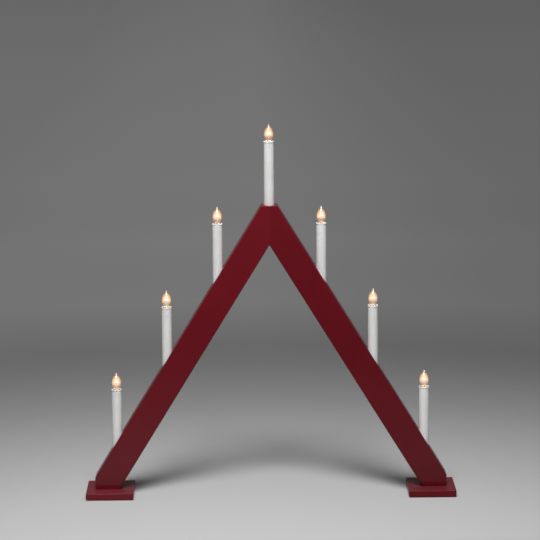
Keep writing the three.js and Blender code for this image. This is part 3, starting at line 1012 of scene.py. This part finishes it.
def make_trees():
    TREES.update(thread=thread_tree(), coil=coil_tree(), row=row_tree(), lead=lead_tree())


# Places on the right leg
BORE_REACH = 60 * MM
HOLE_PAST_GROOVE = 2 * MM
DOWEL_ROOM = 0.15 * MM
DOWEL_END_ROOM = 0.5 * MM
# A foot screw's head and shank by their radii, its cone by its height; the top of its cutter
SCREW_HEAD = 4 * MM
SCREW_SHANK = 2 * MM
SCREW_CONE = 3 * MM
SINK_TOP = 100 * MM
# Room between a lamp's contact and its socket's floor, and between a holder and its tube
SOCKET_ROOM = 1.1 * MM
SPIGOT_ROOM = 0.15 * MM


def leg_height(x, inward=0.0):
    """Height of the line that lies `inward` of the sloping top edge."""
    legs = settings("legs")
    apex = RIGHT_LEG_HIGH.z
    return apex - (x - legs.apex_flat / 2) * math.tan(legs.slope) - inward / math.cos(legs.slope)


def leg_x(height, inward=0.0):
    legs = settings("legs")
    drop = RIGHT_LEG_HIGH.z - height - inward / math.cos(legs.slope)
    return legs.apex_flat / 2 + drop / math.tan(legs.slope)


def leg_outline():
    """The leg's outline, past the mitre and the foot, where it is trimmed."""
    legs = settings("legs")
    over = 5 * MM
    nose_x, radius = RIGHT_LEG_HIGH.x, legs.nose_radius
    centre_x = nose_x - radius
    low = FOOT_HIGH.z - over
    first = math.pi / 2 - legs.slope
    return [
        (-over, RIGHT_LEG_HIGH.z),
        (legs.apex_flat / 2, RIGHT_LEG_HIGH.z),
        *arc(centre_x, leg_height(centre_x, radius), radius, first, -first, 14),
        (nose_x, low),
        (leg_x(low, legs.face), low),
        (-over, leg_height(-over, legs.face)),
    ]


def groove_outline(width, mitre_x):
    """A slot along the leg with a round end below the lowest candle."""
    legs = settings("legs")
    half = width / 2
    end_x = candle_axis(7).x
    end_z = leg_height(end_x, legs.groove_inward)
    return [
        *arc(end_x, end_z, half, math.pi / 2 - legs.slope, -math.pi, 16),
        (mitre_x, leg_height(mitre_x, legs.groove_inward + half)),
        (mitre_x, leg_height(mitre_x, legs.groove_inward - half)),
    ]


def column(radius, low, high):
    """The half-section of a plain cylinder."""
    return [(0, low), (radius, low), (radius, high), (0, high)]


def bore_cutter(candle):
    """The stepped bore of one candle: the tube's seat, and the wire hole below it."""
    legs = settings("legs")
    node = f"candle_tube_{candle}"
    place = candle_axis(candle)
    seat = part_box(node)[0].z - place.z
    radius = size_of(node).x / 2 + legs.bore_clearance
    top = seat + BORE_REACH
    deepest = leg_height(abs(place.x), legs.groove_inward) - HOLE_PAST_GROOVE - place.z
    profile = [(0, deepest), (legs.wire_hole, deepest), (legs.wire_hole, seat),
               (radius, seat), (radius, top), (0, top)]
    return turned(profile, 64, place)


def dowel_cutter(node):
    size = size_of(node)
    reach = size.x / 2 + DOWEL_END_ROOM
    shape = turned(column(size.z / 2 + DOWEL_ROOM, -reach, reach), 24)
    shape.transform(Matrix.Translation(middle_of(node)) @ Matrix.Rotation(math.pi / 2, 4, "Y"))
    return shape


def pilot_cutter(node):
    room = settings("feet").screw_clearance
    hole = column(SCREW_SHANK + room, 0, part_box(node)[1].z + room)
    return turned(hole, 20, (middle_of(node).x, 0, 0))


def screw_nodes(side):
    return [f"foot_screw_{side}_{place}" for place in ("inner", "outer")]


class CANDLESTICK_OT_legs(bpy.types.Operator):
    """Builds the two mitred legs with their bores and wiring grooves"""

    bl_idname = "candlestick.legs"
    bl_label = "Legs"

    def execute(self, context):
        self.build("left", range(1, 5))
        self.build("right", range(4, 8))
        return {"FINISHED"}

    def build(self, side, candles):
        legs = settings("legs")
        solid = prism(leg_outline(), -LEG_BACK, LEG_BACK)
        eased(solid, level_edges(solid, 1), legs.arris, 4)
        trimmed(solid, (0, 0, 0), (-1, 0, 0))
        trimmed(solid, (0, 0, FOOT_HIGH.z), (0, 0, -1))
        joint = [e for e in solid.edges if all(abs(v.co.x) < NO_LENGTH for v in e.verts)]
        eased(solid, joint, legs.mitre_arris, 2)
        cutters = [
            prism(groove_outline(width, -PAST), LEG_BACK - depth, LEG_BACK + PAST)
            for width, depth in (
                (legs.groove_width, legs.groove_depth), (legs.rebate_width, legs.rebate_depth),
            )
        ]
        if side == "left":
            mirrored(solid)
            cutters = [mirrored(cutter) for cutter in cutters]
        cutters += [bore_cutter(candle) for candle in candles]
        cutters += [dowel_cutter(f"apex_dowel_{place}") for place in ("upper", "lower")]
        cutters += [pilot_cutter(node) for node in screw_nodes(side)]
        leg = cut_from(f"lacquered_leg_{side}", solid, cutters)
        flat_sided(piece(leg, f"lacquer_{side}", "lacquer", STAND, f"leg_{side}"))


class CANDLESTICK_OT_feet(bpy.types.Operator):
    """Builds the two foot plates and finishes the felt pads under them"""

    bl_idname = "candlestick.feet"
    bl_label = "Feet"

    def execute(self, context):
        for side in ("left", "right"):
            node = f"foot_{side}"
            plate = self.plate(node, settings("feet").arris, 4)
            cutters = [self.sink(screw) for screw in screw_nodes(side)]
            foot = cut_from(f"foot_plate_{side}", plate, cutters)
            flat_sided(piece(foot, f"lacquer_foot_{side}", "lacquer", STAND, node))
            node = f"felt_pad_{side}"
            pad = shaped(f"felt_under_{side}", self.plate(node, 0.3 * MM, 2))
            flat_sided(piece(pad, "felt", "felt", STAND, node))
        return {"FINISHED"}

    def plate(self, node, arris, segments):
        """A flat plate with rounded corners and edges."""
        low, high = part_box(node)
        corners = [(low.x, low.y), (high.x, low.y), (high.x, high.y), (low.x, high.y)]
        outline = rounded(corners, [settings("feet").corner] * 4, 6)
        shape = slab(outline, low.z, high.z)
        return eased(shape, level_edges(shape, 2), arris, segments)

    def sink(self, node):
        """The countersunk hole of one foot screw."""
        gap = settings("feet").screw_clearance
        head, shank, start = SCREW_HEAD + gap, SCREW_SHANK + gap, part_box(node)[0].z
        profile = [(0, 0), (head, 0), (head, start), (shank, start + SCREW_CONE),
                   (shank, SINK_TOP), (0, SINK_TOP)]
        return turned(profile, 32, (middle_of(node).x, 0, 0))


def pin_shape():
    """A panel pin along +Y, its domed head at the origin."""
    radius = settings("covers").pin_radius
    shank, under = 0.45 * MM, -0.12 * MM
    profile = [
        (0, -6 * MM), (0.1 * MM, -6 * MM), (shank, -5 * MM), (shank, under), (radius, under),
        (radius, 0.05 * MM), (radius * 0.7, 0.2 * MM), (0, 0.26 * MM),
    ]
    shape = turned(profile, 14)
    shape.transform(Matrix.Rotation(-math.pi / 2, 4, "X"))
    return shape


class CANDLESTICK_OT_covers(bpy.types.Operator):
    """Builds the cover strips in the backs of the legs, their pins and the cord outlet"""

    bl_idname = "candlestick.covers"
    bl_label = "Back covers and cord outlet"

    def execute(self, context):
        for side, sign in (("left", -1), ("right", 1)):
            self.strip(side)
            self.pins(side, sign)
        self.gland()
        return {"FINISHED"}

    def strip(self, side):
        covers, legs = settings("covers"), settings("legs")
        width = legs.rebate_width - 2 * covers.clearance
        seat = LEG_BACK - legs.rebate_depth + covers.clearance
        solid = prism(groove_outline(width, covers.clearance / 2), seat, LEG_BACK)
        outer = [e for e in solid.edges if all(v.co.y == LEG_BACK for v in e.verts)]
        eased(solid, outer, covers.arris, 2)
        cutters = []
        if side == "left":
            mirrored(solid)
        else:
            hole = turned(column(covers.gland_hole, -PAST, PAST), 40)
            place = middle_of("cord_gland")
            turn = Matrix.Rotation(math.pi / 2, 4, "X")
            hole.transform(Matrix.Translation((place.x, LEG_BACK, place.z)) @ turn)
            cutters.append(hole)
        strip = cut_from(f"cover_strip_{side}", solid, cutters)
        flat_sided(piece(strip, f"lacquer_{side}", "lacquer", STAND, f"back_cover_{side}"))

    def pins(self, side, sign):
        covers, legs = settings("covers"), settings("legs")
        half = legs.rebate_width / 2 - covers.clearance - covers.pin_margin
        fastener = shaped("panel_pin", pin_shape())
        ends = covers.end_margin, candle_axis(7).x - covers.end_margin
        for label, inward in (("upper", legs.groove_inward - half),
                              ("lower", legs.groove_inward + half)):
            start, end = (Vector((sign * x, LEG_BACK, leg_height(x, inward))) for x in ends)
            row = placed(f"panel_pins_{side}_{label}", bpy.data.meshes.new("pins"))
            grown(row, "row", "steel", fastener=fastener, start=start, end=end, count=covers.pins)
            piece(row, "steel", "zinc_steel", STAND)
        bpy.data.objects.remove(fastener)

    def gland(self):
        covers = settings("covers")
        low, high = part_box("cord_gland")
        place = middle_of("cord_gland")
        flange = size_of("cord_gland").x / 2
        seat = LEG_BACK + covers.clearance
        neck = covers.gland_neck
        profile = rounded(
            [(0, low.y), (neck, low.y), (neck, seat), (flange, seat), (flange, high.y),
             (0, high.y)],
            [0, 0.4 * MM, 0, 0.3 * MM, 0.8 * MM, 0],
        )
        bush = turned(profile, 56)
        bush.transform(Matrix.Rotation(-math.pi / 2, 4, "X"))
        bush.transform(Matrix.Translation((place.x, 0, place.z)))
        width, height, flare = covers.slot_width, covers.slot_height, 2 * covers.slot_flare
        slot = self.slot_outline(width, height, place)
        mouth = self.slot_outline(width + flare, height + flare, place)
        cutters = [
            prism(slot, low.y - PAST, high.y + PAST),
            prism(mouth, high.y - 0.5 * MM, high.y + PAST),
        ]
        gland = cut_from("cord_outlet_bush", bush, cutters)
        flat_sided(piece(gland, "nylon", "white_nylon", STAND, "cord_gland"))

    def slot_outline(self, width, height, place):
        """A level slot with round ends."""
        radius = height / 2
        half = width / 2 - radius
        return [
            *arc(place.x + half, place.z, radius, -math.pi / 2, math.pi, 8),
            *arc(place.x - half, place.z, radius, math.pi / 2, math.pi, 8),
        ]


class CANDLESTICK_OT_tubes(bpy.types.Operator):
    """Builds the seven tapered candle tubes"""

    bl_idname = "candlestick.tubes"
    bl_label = "Candle tubes"

    def execute(self, context):
        sizes = settings("candles")
        wall = sizes.wall
        foot = size_of("candle_tube_4").x / 2
        top = size_of("lamp_holder_4").x / 2 - sizes.rim_overhang
        for candle in CANDLES:
            node = f"candle_tube_{candle}"
            place = candle_axis(candle)
            bottom, upper = (corner.z - place.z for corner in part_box(node))
            profile = rounded(
                [(foot - wall, bottom), (foot, bottom), (top, upper), (top - wall, upper)],
                [0.3 * MM, 0.3 * MM, 0.12 * MM, 0.3 * MM],
                3,
            )
            tube = shaped(f"white_tube_{candle}", turned(profile, 72, place, closed=True))
            piece(tube, "tube", "tube_plastic", STAND, node)
        return {"FINISHED"}


def cap_heights():
    """Bottom and top of the lamp cap below the rim."""
    return [corner.z - rim_top(4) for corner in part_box("bulb_cap_4")]


def threaded(name, profile, place, bottom, top):
    """A closed ring profile turned in brass and threaded between two heights."""
    lamps = settings("lamps")
    shape = turned(divided(profile, lamps.pitch / 9), 44, place, closed=True)
    return grown(
        shaped(name, shape), "thread", "brass", centre=place, pitch=lamps.pitch,
        depth=lamps.thread_depth, bottom=bottom, top=top, run_out=1 * MM,
    )


class CANDLESTICK_OT_holders(bpy.types.Operator):
    """Builds the seven lamp holders with their threaded shells and centre contacts"""

    bl_idname = "candlestick.holders"
    bl_label = "Lamp holders"

    def execute(self, context):
        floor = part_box("bulb_insulator_4")[0].z - rim_top(4) - SOCKET_ROOM
        sizes = settings("candles")
        outer = settings("lamps").cap_radius + sizes.shell_gap + sizes.shell_sheet
        for candle in CANDLES:
            self.body(candle, floor, outer)
            self.shell(candle, floor, outer)
            self.contact(candle, floor)
        return {"FINISHED"}

    def body(self, candle, floor, shell_radius):
        sizes = settings("candles")
        low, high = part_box(f"lamp_holder_{candle}")
        bottom = low.z - high.z
        rim = (high.x - low.x) / 2
        ledge = -sizes.rim_thickness
        spigot = rim - sizes.rim_overhang - sizes.wall - SPIGOT_ROOM
        base = floor - 2 * MM
        bore = shell_radius + 0.05 * MM
        tail, mouth = 4.2 * MM, 5.9 * MM
        # Radius, height and, in millimetres, the rounding of each corner
        corners = [
            (0, bottom, 0), (tail, bottom, 0.5), (tail, base, 0.3), (spigot, base, 0.5),
            (spigot, ledge, 0.15), (rim, ledge, 0.15), (rim, 0, sizes.rim_round / MM),
            (rim - 1.3 * MM, 0, 0.35), (6.6 * MM, -0.7 * MM, 0.5), (mouth, -0.9 * MM, 0.3),
            (mouth, -2 * MM, 0.2), (bore, -2.6 * MM, 0.2), (bore, floor, 0.3), (0, floor, 0),
        ]
        profile = rounded([corner[:2] for corner in corners], [c[2] * MM for c in corners], 4)
        holder = shaped(f"holder_body_{candle}", turned(profile, 64, candle_axis(candle)))
        piece(holder, "holder", "holder_plastic", STAND, f"lamp_holder_{candle}")

    def shell(self, candle, floor, outer):
        inner = outer - settings("candles").shell_sheet
        low, high = floor + 0.4 * MM, -2.7 * MM
        profile = [(inner, low), (outer, low), (outer, high), (inner, high)]
        shell = threaded(
            f"socket_shell_{candle}", profile, candle_axis(candle),
            bottom=cap_heights()[0] + 0.2 * MM, top=high - 0.5 * MM,
        )
        piece(shell, "brass", "brass", STAND)

    def contact(self, candle, floor):
        edge, top = floor + 0.35 * MM, floor + 0.8 * MM
        profile = rounded(
            [(0, floor), (2.2 * MM, floor), (2.2 * MM, edge), (1.3 * MM, top), (0, top)],
            [0, 0, 0.12 * MM, 0.25 * MM, 0],
        )
        shape = turned(profile, 28, candle_axis(candle))
        piece(shaped(f"centre_contact_{candle}", shape), "brass", "brass", STAND)


# The lamp's glass: shares of its radius by millimetres over the rim, then by shares of its height
NECK_FOOT = -3.2 * MM
BELLY = [(0.82, 2.45), (0.96, 7), (1.0, 10.6), (0.97, 13.2)]
FLAME = [(0.86, 0.62), (0.62, 0.76), (0.34, 0.88), (0.17, 0.955)]
# Half-section of the stem in millimetres from the axis and over the rim
STEM_SECTION = [
    (3.3, -3.2), (3.3, -2.7), (2.0, -1.8), (1.3, -0.2), (1.1, 3.2), (1.25, 4.6), (0.8, 6),
]


class CANDLESTICK_OT_lamps(bpy.types.Operator):
    """Builds the seven screw lamps: cap, insulator, glass, stem, leads and filament"""

    bl_idname = "candlestick.lamps"
    bl_label = "Lamps"

    def execute(self, context):
        for candle in CANDLES:
            place = candle_axis(candle)
            self.cap(candle, place)
            self.insulator(candle, place)
            self.glass(candle, place)
            self.stem(candle, place)
            self.filament(candle, place)
        return {"FINISHED"}

    def cap(self, candle, place):
        low, high = cap_heights()
        sheet = 0.3 * MM
        radius = settings("lamps").cap_radius
        lip, shoulder = radius - 1 * MM, low + 1 * MM
        points = [
            (lip - sheet, low), (lip, low), (radius, shoulder), (radius, high),
            (radius - sheet, high), (radius - sheet, shoulder),
        ]
        profile = rounded(points, [0, 0, 0.5 * MM, 0.12 * MM, 0.12 * MM, 0.3 * MM], 3)
        cap = threaded(
            f"threaded_cap_{candle}", profile, place, bottom=shoulder, top=high - 1.6 * MM
        )
        piece(cap, "brass", "brass", f"lamp_{candle}", f"bulb_cap_{candle}")

    def insulator(self, candle, place):
        top = cap_heights()[0] - 0.1 * MM
        base, inside = top - 1 * MM, top + 1 * MM
        neck, collar = 3.1 * MM, 3.7 * MM
        profile = rounded(
            [(0, base), (1.9 * MM, base), (collar, top), (neck, top), (neck, inside), (0, inside)],
            [0, 0.3 * MM, 0.2 * MM, 0, 0.1 * MM, 0],
        )
        body = f"lamp_thread_{candle}"
        plug = shaped(f"black_base_{candle}", turned(profile, 36, place))
        piece(plug, "insulator", "black_insulator", body, f"bulb_insulator_{candle}")
        nub = [(0, base - 0.6 * MM), (0.8 * MM, base - 0.55 * MM), (1.4 * MM, base - 0.3 * MM),
               (1.6 * MM, base), (0, base)]
        solder = shaped(f"contact_nub_{candle}", turned(nub, 24, place))
        piece(solder, "steel", "zinc_steel", body)

    def glass(self, candle, place):
        """The flame-shaped glass, from the foot of its neck up to its tip."""
        lamps = settings("lamps")
        radius = lamps.bulb_radius
        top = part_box("bulb_glass_4")[1].z - rim_top(4)
        points = [(lamps.neck_radius, NECK_FOOT), (lamps.neck_radius, -1.6 * MM)]
        points += [(radius * share, height * MM) for share, height in BELLY]
        points += [(radius * share, top * height) for share, height in FLAME]
        outer = flowing(points, 5) + [(0.5 * MM, top - 0.12 * MM), (0, top)]
        inside = [(across - lamps.glass_wall, height) for across, height in points[:-2]]
        inner = flowing(inside, 4) + [(0.9 * MM, top * 0.86), (0, top * 0.885)]
        shape = turned(outer + inner[::-1], 56, place, closed=True)
        self.glassy(f"flame_glass_{candle}", shape, "lamp", candle, f"bulb_glass_{candle}")

    def glassy(self, name, shape, part, candle, node):
        """A piece of clear glass, which casts no shadow."""
        paint = f"{part}_glass_{candle}"
        PAINTS[paint] = lamp_glass(paint, candle)
        glass = piece(shaped(name, shape), paint, "lamp_glass", f"lamp_{candle}", node)
        glass.visible_shadow = False

    def stem(self, candle, place):
        profile = [(0, NECK_FOOT), *flowing(in_mm(STEM_SECTION), 4), (0, 6.5 * MM)]
        shape = turned(profile, 28, place)
        self.glassy(f"glass_stem_{candle}", shape, "stem", candle, f"bulb_filament_{candle}")

    def filament(self, candle, place):
        """The coil of hot wire and the two leads that carry it."""
        lamps = settings("lamps")
        body = f"lamp_{candle}"
        spread, height = lamps.coil_spread, lamps.coil_height
        runs = bmesh.new()
        for sign in (-1, 1):
            foot = sign * 0.5 * MM
            knots = [
                (foot, -3.1 * MM), (foot, 5.6 * MM), (sign * spread * 0.8, 8.6 * MM),
                (sign * spread, height),
            ]
            strung(runs, [place + Vector((x, 0, z)) for x, z in knots])
        leads = shaped(f"lead_wires_{candle}", runs)
        grown(leads, "lead", "lead", bend_radius=1 * MM, sheath_radius=0.2 * MM)
        piece(leads, "lead", "filament_metal", body)
        coil = placed(f"hot_filament_{candle}", bpy.data.meshes.new("coil"))
        grown(
            coil, "coil", "coil", centre=place + Vector((0, 0, height)), spread=spread,
            rise=1.3 * MM, coil_radius=lamps.coil_radius, wire_radius=lamps.wire_radius,
            turns=float(lamps.coil_turns),
        )
        piece(coil, "coil", "filament_metal", body)


# Half-section of a countersunk wood screw, point up, in millimetres from its head's underside
SCREW_SECTION = [
    (0, 0), (4, 0), (4, 0.35), (2.1, 2.7), (1.7, 3.2), (1.7, 9), (1.95, 10), (1.95, 27),
    (0.2, 32), (0, 32),
]
# Radii of the wires, and how far before a holder or the outlet they end
MAIN_LEAD = 1.9 * MM
BRANCH_LEAD = 1.45 * MM
LEAD_GAP = 0.4 * MM


class CANDLESTICK_OT_fittings(bpy.types.Operator):
    """Builds the foot screws and the inner wiring, and finishes the dowels"""

    bl_idname = "candlestick.fittings"
    bl_label = "Screws, dowels and wiring"

    def execute(self, context):
        for side in ("left", "right"):
            self.screws(side)
            self.wiring(side)
        for place in ("upper", "lower"):
            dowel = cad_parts[f"apex_dowel_{place}"]
            dowel.data.materials.clear()
            dowel.data.materials.append(PAINTS["beech"])
        return {"FINISHED"}

    def screws(self, side):
        shape = turned(divided(in_mm(SCREW_SECTION), 0.3 * MM)[:-1], 28)
        solid = grown(
            shaped("foot_screw", shape), "thread", "steel", centre=(0, 0, 0), pitch=1.8 * MM,
            depth=0.6 * MM, bottom=9.5 * MM, top=31 * MM, run_out=2 * MM,
        )
        cross = []
        for wide, deep in ((0.5 * MM, 2.2 * MM), (2.2 * MM, 0.5 * MM)):
            box = [(-wide, -deep), (wide, -deep), (wide, deep), (-wide, deep)]
            cross.append(slab(box, -1 * MM, 1.6 * MM))
        screw = bmesh.new()
        screw.from_mesh(solid.data)
        fastener = cut_from("foot_screw_cut", screw, cross)
        bpy.data.objects.remove(solid)
        names = screw_nodes(side)
        start, end = ((middle_of(node).x, 0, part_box(node)[0].z) for node in names)
        row = placed(f"foot_screws_{side}", bpy.data.meshes.new("screws"))
        grown(row, "row", "steel", fastener=fastener, start=start, end=end, count=2)
        bpy.data.objects.remove(fastener)
        piece(row, "steel", "zinc_steel", STAND, *names)

    def wiring(self, side):
        """The main lead in the groove, and its branches to the holders and the outlet."""
        legs = settings("legs")
        is_left = side == "left"
        sign = -1 if is_left else 1
        depth = LEG_BACK - legs.groove_depth + 2.2 * MM
        near = 0 if is_left else MAIN_LEAD
        main = bmesh.new()
        strung(main, [
            (sign * x, depth, leg_height(x, legs.groove_inward))
            for x in (near, candle_axis(7).x)
        ])
        lead = shaped(f"main_lead_{side}", main)
        grown(lead, "lead", "sheath", bend_radius=0.0, sheath_radius=MAIN_LEAD)
        piece(lead, "sheath", "wire_sheath", STAND, f"wiring_{side}")
        runs = bmesh.new()
        for candle in range(1, 5) if is_left else range(5, 8):
            x = candle_axis(candle).x
            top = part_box(f"lamp_holder_{candle}")[0].z - LEAD_GAP
            low = leg_height(abs(x), legs.groove_inward)
            strung(runs, [(x, depth * 0.6, low), (x, 0, low + 9 * MM), (x, 0, top)])
        if not is_left:
            gland = middle_of("cord_gland")
            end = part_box("cord_gland")[0].y - LEAD_GAP
            strung(runs, [(gland.x, depth, gland.z), (gland.x, end, gland.z)])
        branches = shaped(f"branch_leads_{side}", runs)
        grown(branches, "lead", "sheath", bend_radius=3 * MM, sheath_radius=BRANCH_LEAD)
        piece(branches, "sheath", "wire_sheath", STAND)


# Stage

# Painted light and shade on the floor: a dark band towards the camera, a falloff by distance, and
# its own light by distance
FLOOR_RADIUS = 40
FLOOR_REACH = 11.0
FLOOR_FRONT_SHADE = [
    (0.0, 0.3), (0.35, 0.41), (0.45, 0.37), (0.56, 0.20), (0.69, 0.13), (0.80, 0.25),
    (0.88, 0.58), (0.94, 1.0),
]
FLOOR_PAINTED_FALLOFF = [
    (0.0, 0.458), (0.235, 0.448), (0.43, 0.425), (0.67, 0.353), (0.956, 0.255), (1.28, 0.193),
    (1.41, 0.178), (1.86, 0.255), (3.0, 0.19), (11.0, 0.12),
]
FLOOR_LIGHT = [
    (0.0, 0.0), (1.2, 0.0), (1.86, 0.04), (2.61, 0.10), (3.6, 0.127), (4.97, 0.136),
    (6.99, 0.138), (11.0, 0.127),
]


def floor_material():
    """Pale floor with painted light and shade: a falloff to mid grey behind the object, where it
    has a light of its own, a dark band in front and shade to the right.
    """
    finish = Finish("studio_floor", (0.5, 0.5, 0.5), 0.6)
    graph = finish.graph
    place = graph.split(finish.vector)
    centred = graph.vector("MULTIPLY_ADD", finish.vector, (0.92, 1.0, 0.0), (0.0, 0.35, 0.0))
    share = graph.ramped(graph.vector("LENGTH", centred), 0.0, FLOOR_REACH)
    # Painted shade: behind the object the floor darkens to the right and towards both sides, and a
    # little to the right everywhere.
    side = graph.product(
        graph.ramped(place["X"], -0.6, 0.6, 1.04, 0.92),
        graph.ramped(graph.math("ABSOLUTE", place["X"]), 0.0, 0.8, 1.0, 0.83),
    )
    behind = graph.ramped(place["Y"], 0.5, 1.2)
    painted_side_shade = graph.math("ADD", 1.0, graph.product(graph.math("SUBTRACT", side, 1.0), behind))
    painted_side_shade = graph.product(painted_side_shade, graph.ramped(place["X"], -0.4, 0.4, 1.01, 0.96))
    finish.shade = graph.steps(share, FLOOR_PAINTED_FALLOFF, FLOOR_REACH)
    finish.toned(graph.steps(graph.ramped(place["Y"], -4.0, 0.0), FLOOR_FRONT_SHADE))
    finish.toned(painted_side_shade)
    glow = graph.vector("MULTIPLY", graph.steps(share, FLOOR_LIGHT, FLOOR_REACH), painted_side_shade)
    finish.set(emission_color=glow, emission_strength=1.0, specular_ior_level=0.15)
    return finish.done()


# The soft lamp, the shade behind all, and the camera's direction
KEY_PLACE = Vector((-0.10, -1.38, 2.6))
KEY_TARGET = Vector((0, 0, 0.1))
KEY_SIZE = (1.3, 0.95)
BACKDROP = 0.14
CAMERA_AIM = Vector((0.01079, 0.98076, -0.19493))
CAMERA_ROLL = math.radians(-0.391)
SENSOR_WIDTH = 36


class CANDLESTICK_OT_stage(bpy.types.Operator):
    """Sets up the floor, the soft lamp, the surroundings and the camera"""

    bl_idname = "candlestick.stage"
    bl_label = "Stage"

    def execute(self, context):
        self.floor()
        self.key_light()
        self.surroundings()
        self.camera()
        context.scene.view_settings.view_transform = "Standard"
        return {"FINISHED"}

    def floor(self):
        shape = bmesh.new()
        bmesh.ops.create_circle(shape, cap_ends=True, segments=64, radius=FLOOR_RADIUS)
        floor = shaped("floor", shape)
        floor.data.materials.append(floor_material())

    def key_light(self):
        light = bpy.data.lights.new("key", "AREA")
        light.energy = settings("stage").key
        light.shape = "RECTANGLE"
        light.size, light.size_y = KEY_SIZE
        lamp = placed("key", light)
        lamp.location = KEY_PLACE
        lamp.rotation_euler = (KEY_TARGET - KEY_PLACE).to_track_quat("-Z", "Y").to_euler()

    def surroundings(self):
        world = bpy.data.worlds.new("studio")
        world.use_nodes = True
        graph = Graph(world.node_tree)
        background = world.node_tree.nodes["Background"]
        paths = graph.node("ShaderNodeLightPath").outputs
        seen = graph.math("MAXIMUM", paths["Is Camera Ray"], paths["Is Glossy Ray"])
        seen = graph.math("MAXIMUM", seen, paths["Is Transmission Ray"])
        shade = graph.mixed(seen, settings("stage").ambient, BACKDROP)
        graph.feed(background.inputs["Color"], shade)
        bpy.context.scene.world = world

    def camera(self):
        stage = settings("stage")
        lens = bpy.data.cameras.new("camera")
        lens.lens = stage.lens
        lens.sensor_width = SENSOR_WIDTH
        lens.clip_end = 100
        camera = placed("camera", lens)
        forward = CAMERA_AIM.normalized()
        across = forward.cross(Vector((0, 0, 1))).normalized()
        up = across.cross(forward)
        turn = Matrix((across, up, -forward)).transposed().to_4x4()
        roll = Matrix.Rotation(CAMERA_ROLL, 4, "Z")
        place = (stage.camera_sideways, -stage.camera_distance, stage.camera_height)
        camera.matrix_world = Matrix.Translation(place) @ turn @ roll
        bpy.context.scene.camera = camera


class CANDLESTICK_PT_panel(bpy.types.Panel):
    """Lists the candlestick's sizes, finishes and pieces"""

    bl_idname = "CANDLESTICK_PT_panel"
    bl_label = "Electric candlestick"
    bl_space_type = "VIEW_3D"
    bl_region_type = "UI"
    bl_category = "Candlestick"

    def draw(self, context):
        for operator in PIECES:
            self.layout.operator(operator.bl_idname)
        for name, group in GROUPS.items():
            box = self.layout.box()
            box.label(text=group.__name__)
            for key in group.__annotations__:
                box.prop(getattr(context.scene, name), key)


PIECES = (
    CANDLESTICK_OT_stage,
    CANDLESTICK_OT_legs,
    CANDLESTICK_OT_feet,
    CANDLESTICK_OT_covers,
    CANDLESTICK_OT_tubes,
    CANDLESTICK_OT_holders,
    CANDLESTICK_OT_lamps,
    CANDLESTICK_OT_fittings,
)
CLASSES = (*GROUPS.values(), *PIECES, CANDLESTICK_PT_panel)


def register():
    for group in CLASSES:
        bpy.utils.register_class(group)
    for name, group in GROUPS.items():
        setattr(bpy.types.Scene, name, bpy.props.PointerProperty(type=group))


def unregister():
    for name in GROUPS:
        delattr(bpy.types.Scene, name)
    for group in reversed(CLASSES):
        bpy.utils.unregister_class(group)


def main():
    register()
    make_materials()
    make_trees()
    for operator in PIECES:
        family, name = operator.bl_idname.split(".")
        getattr(getattr(bpy.ops, family), name)()
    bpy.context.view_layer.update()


if __name__ == "__main__":
    main()
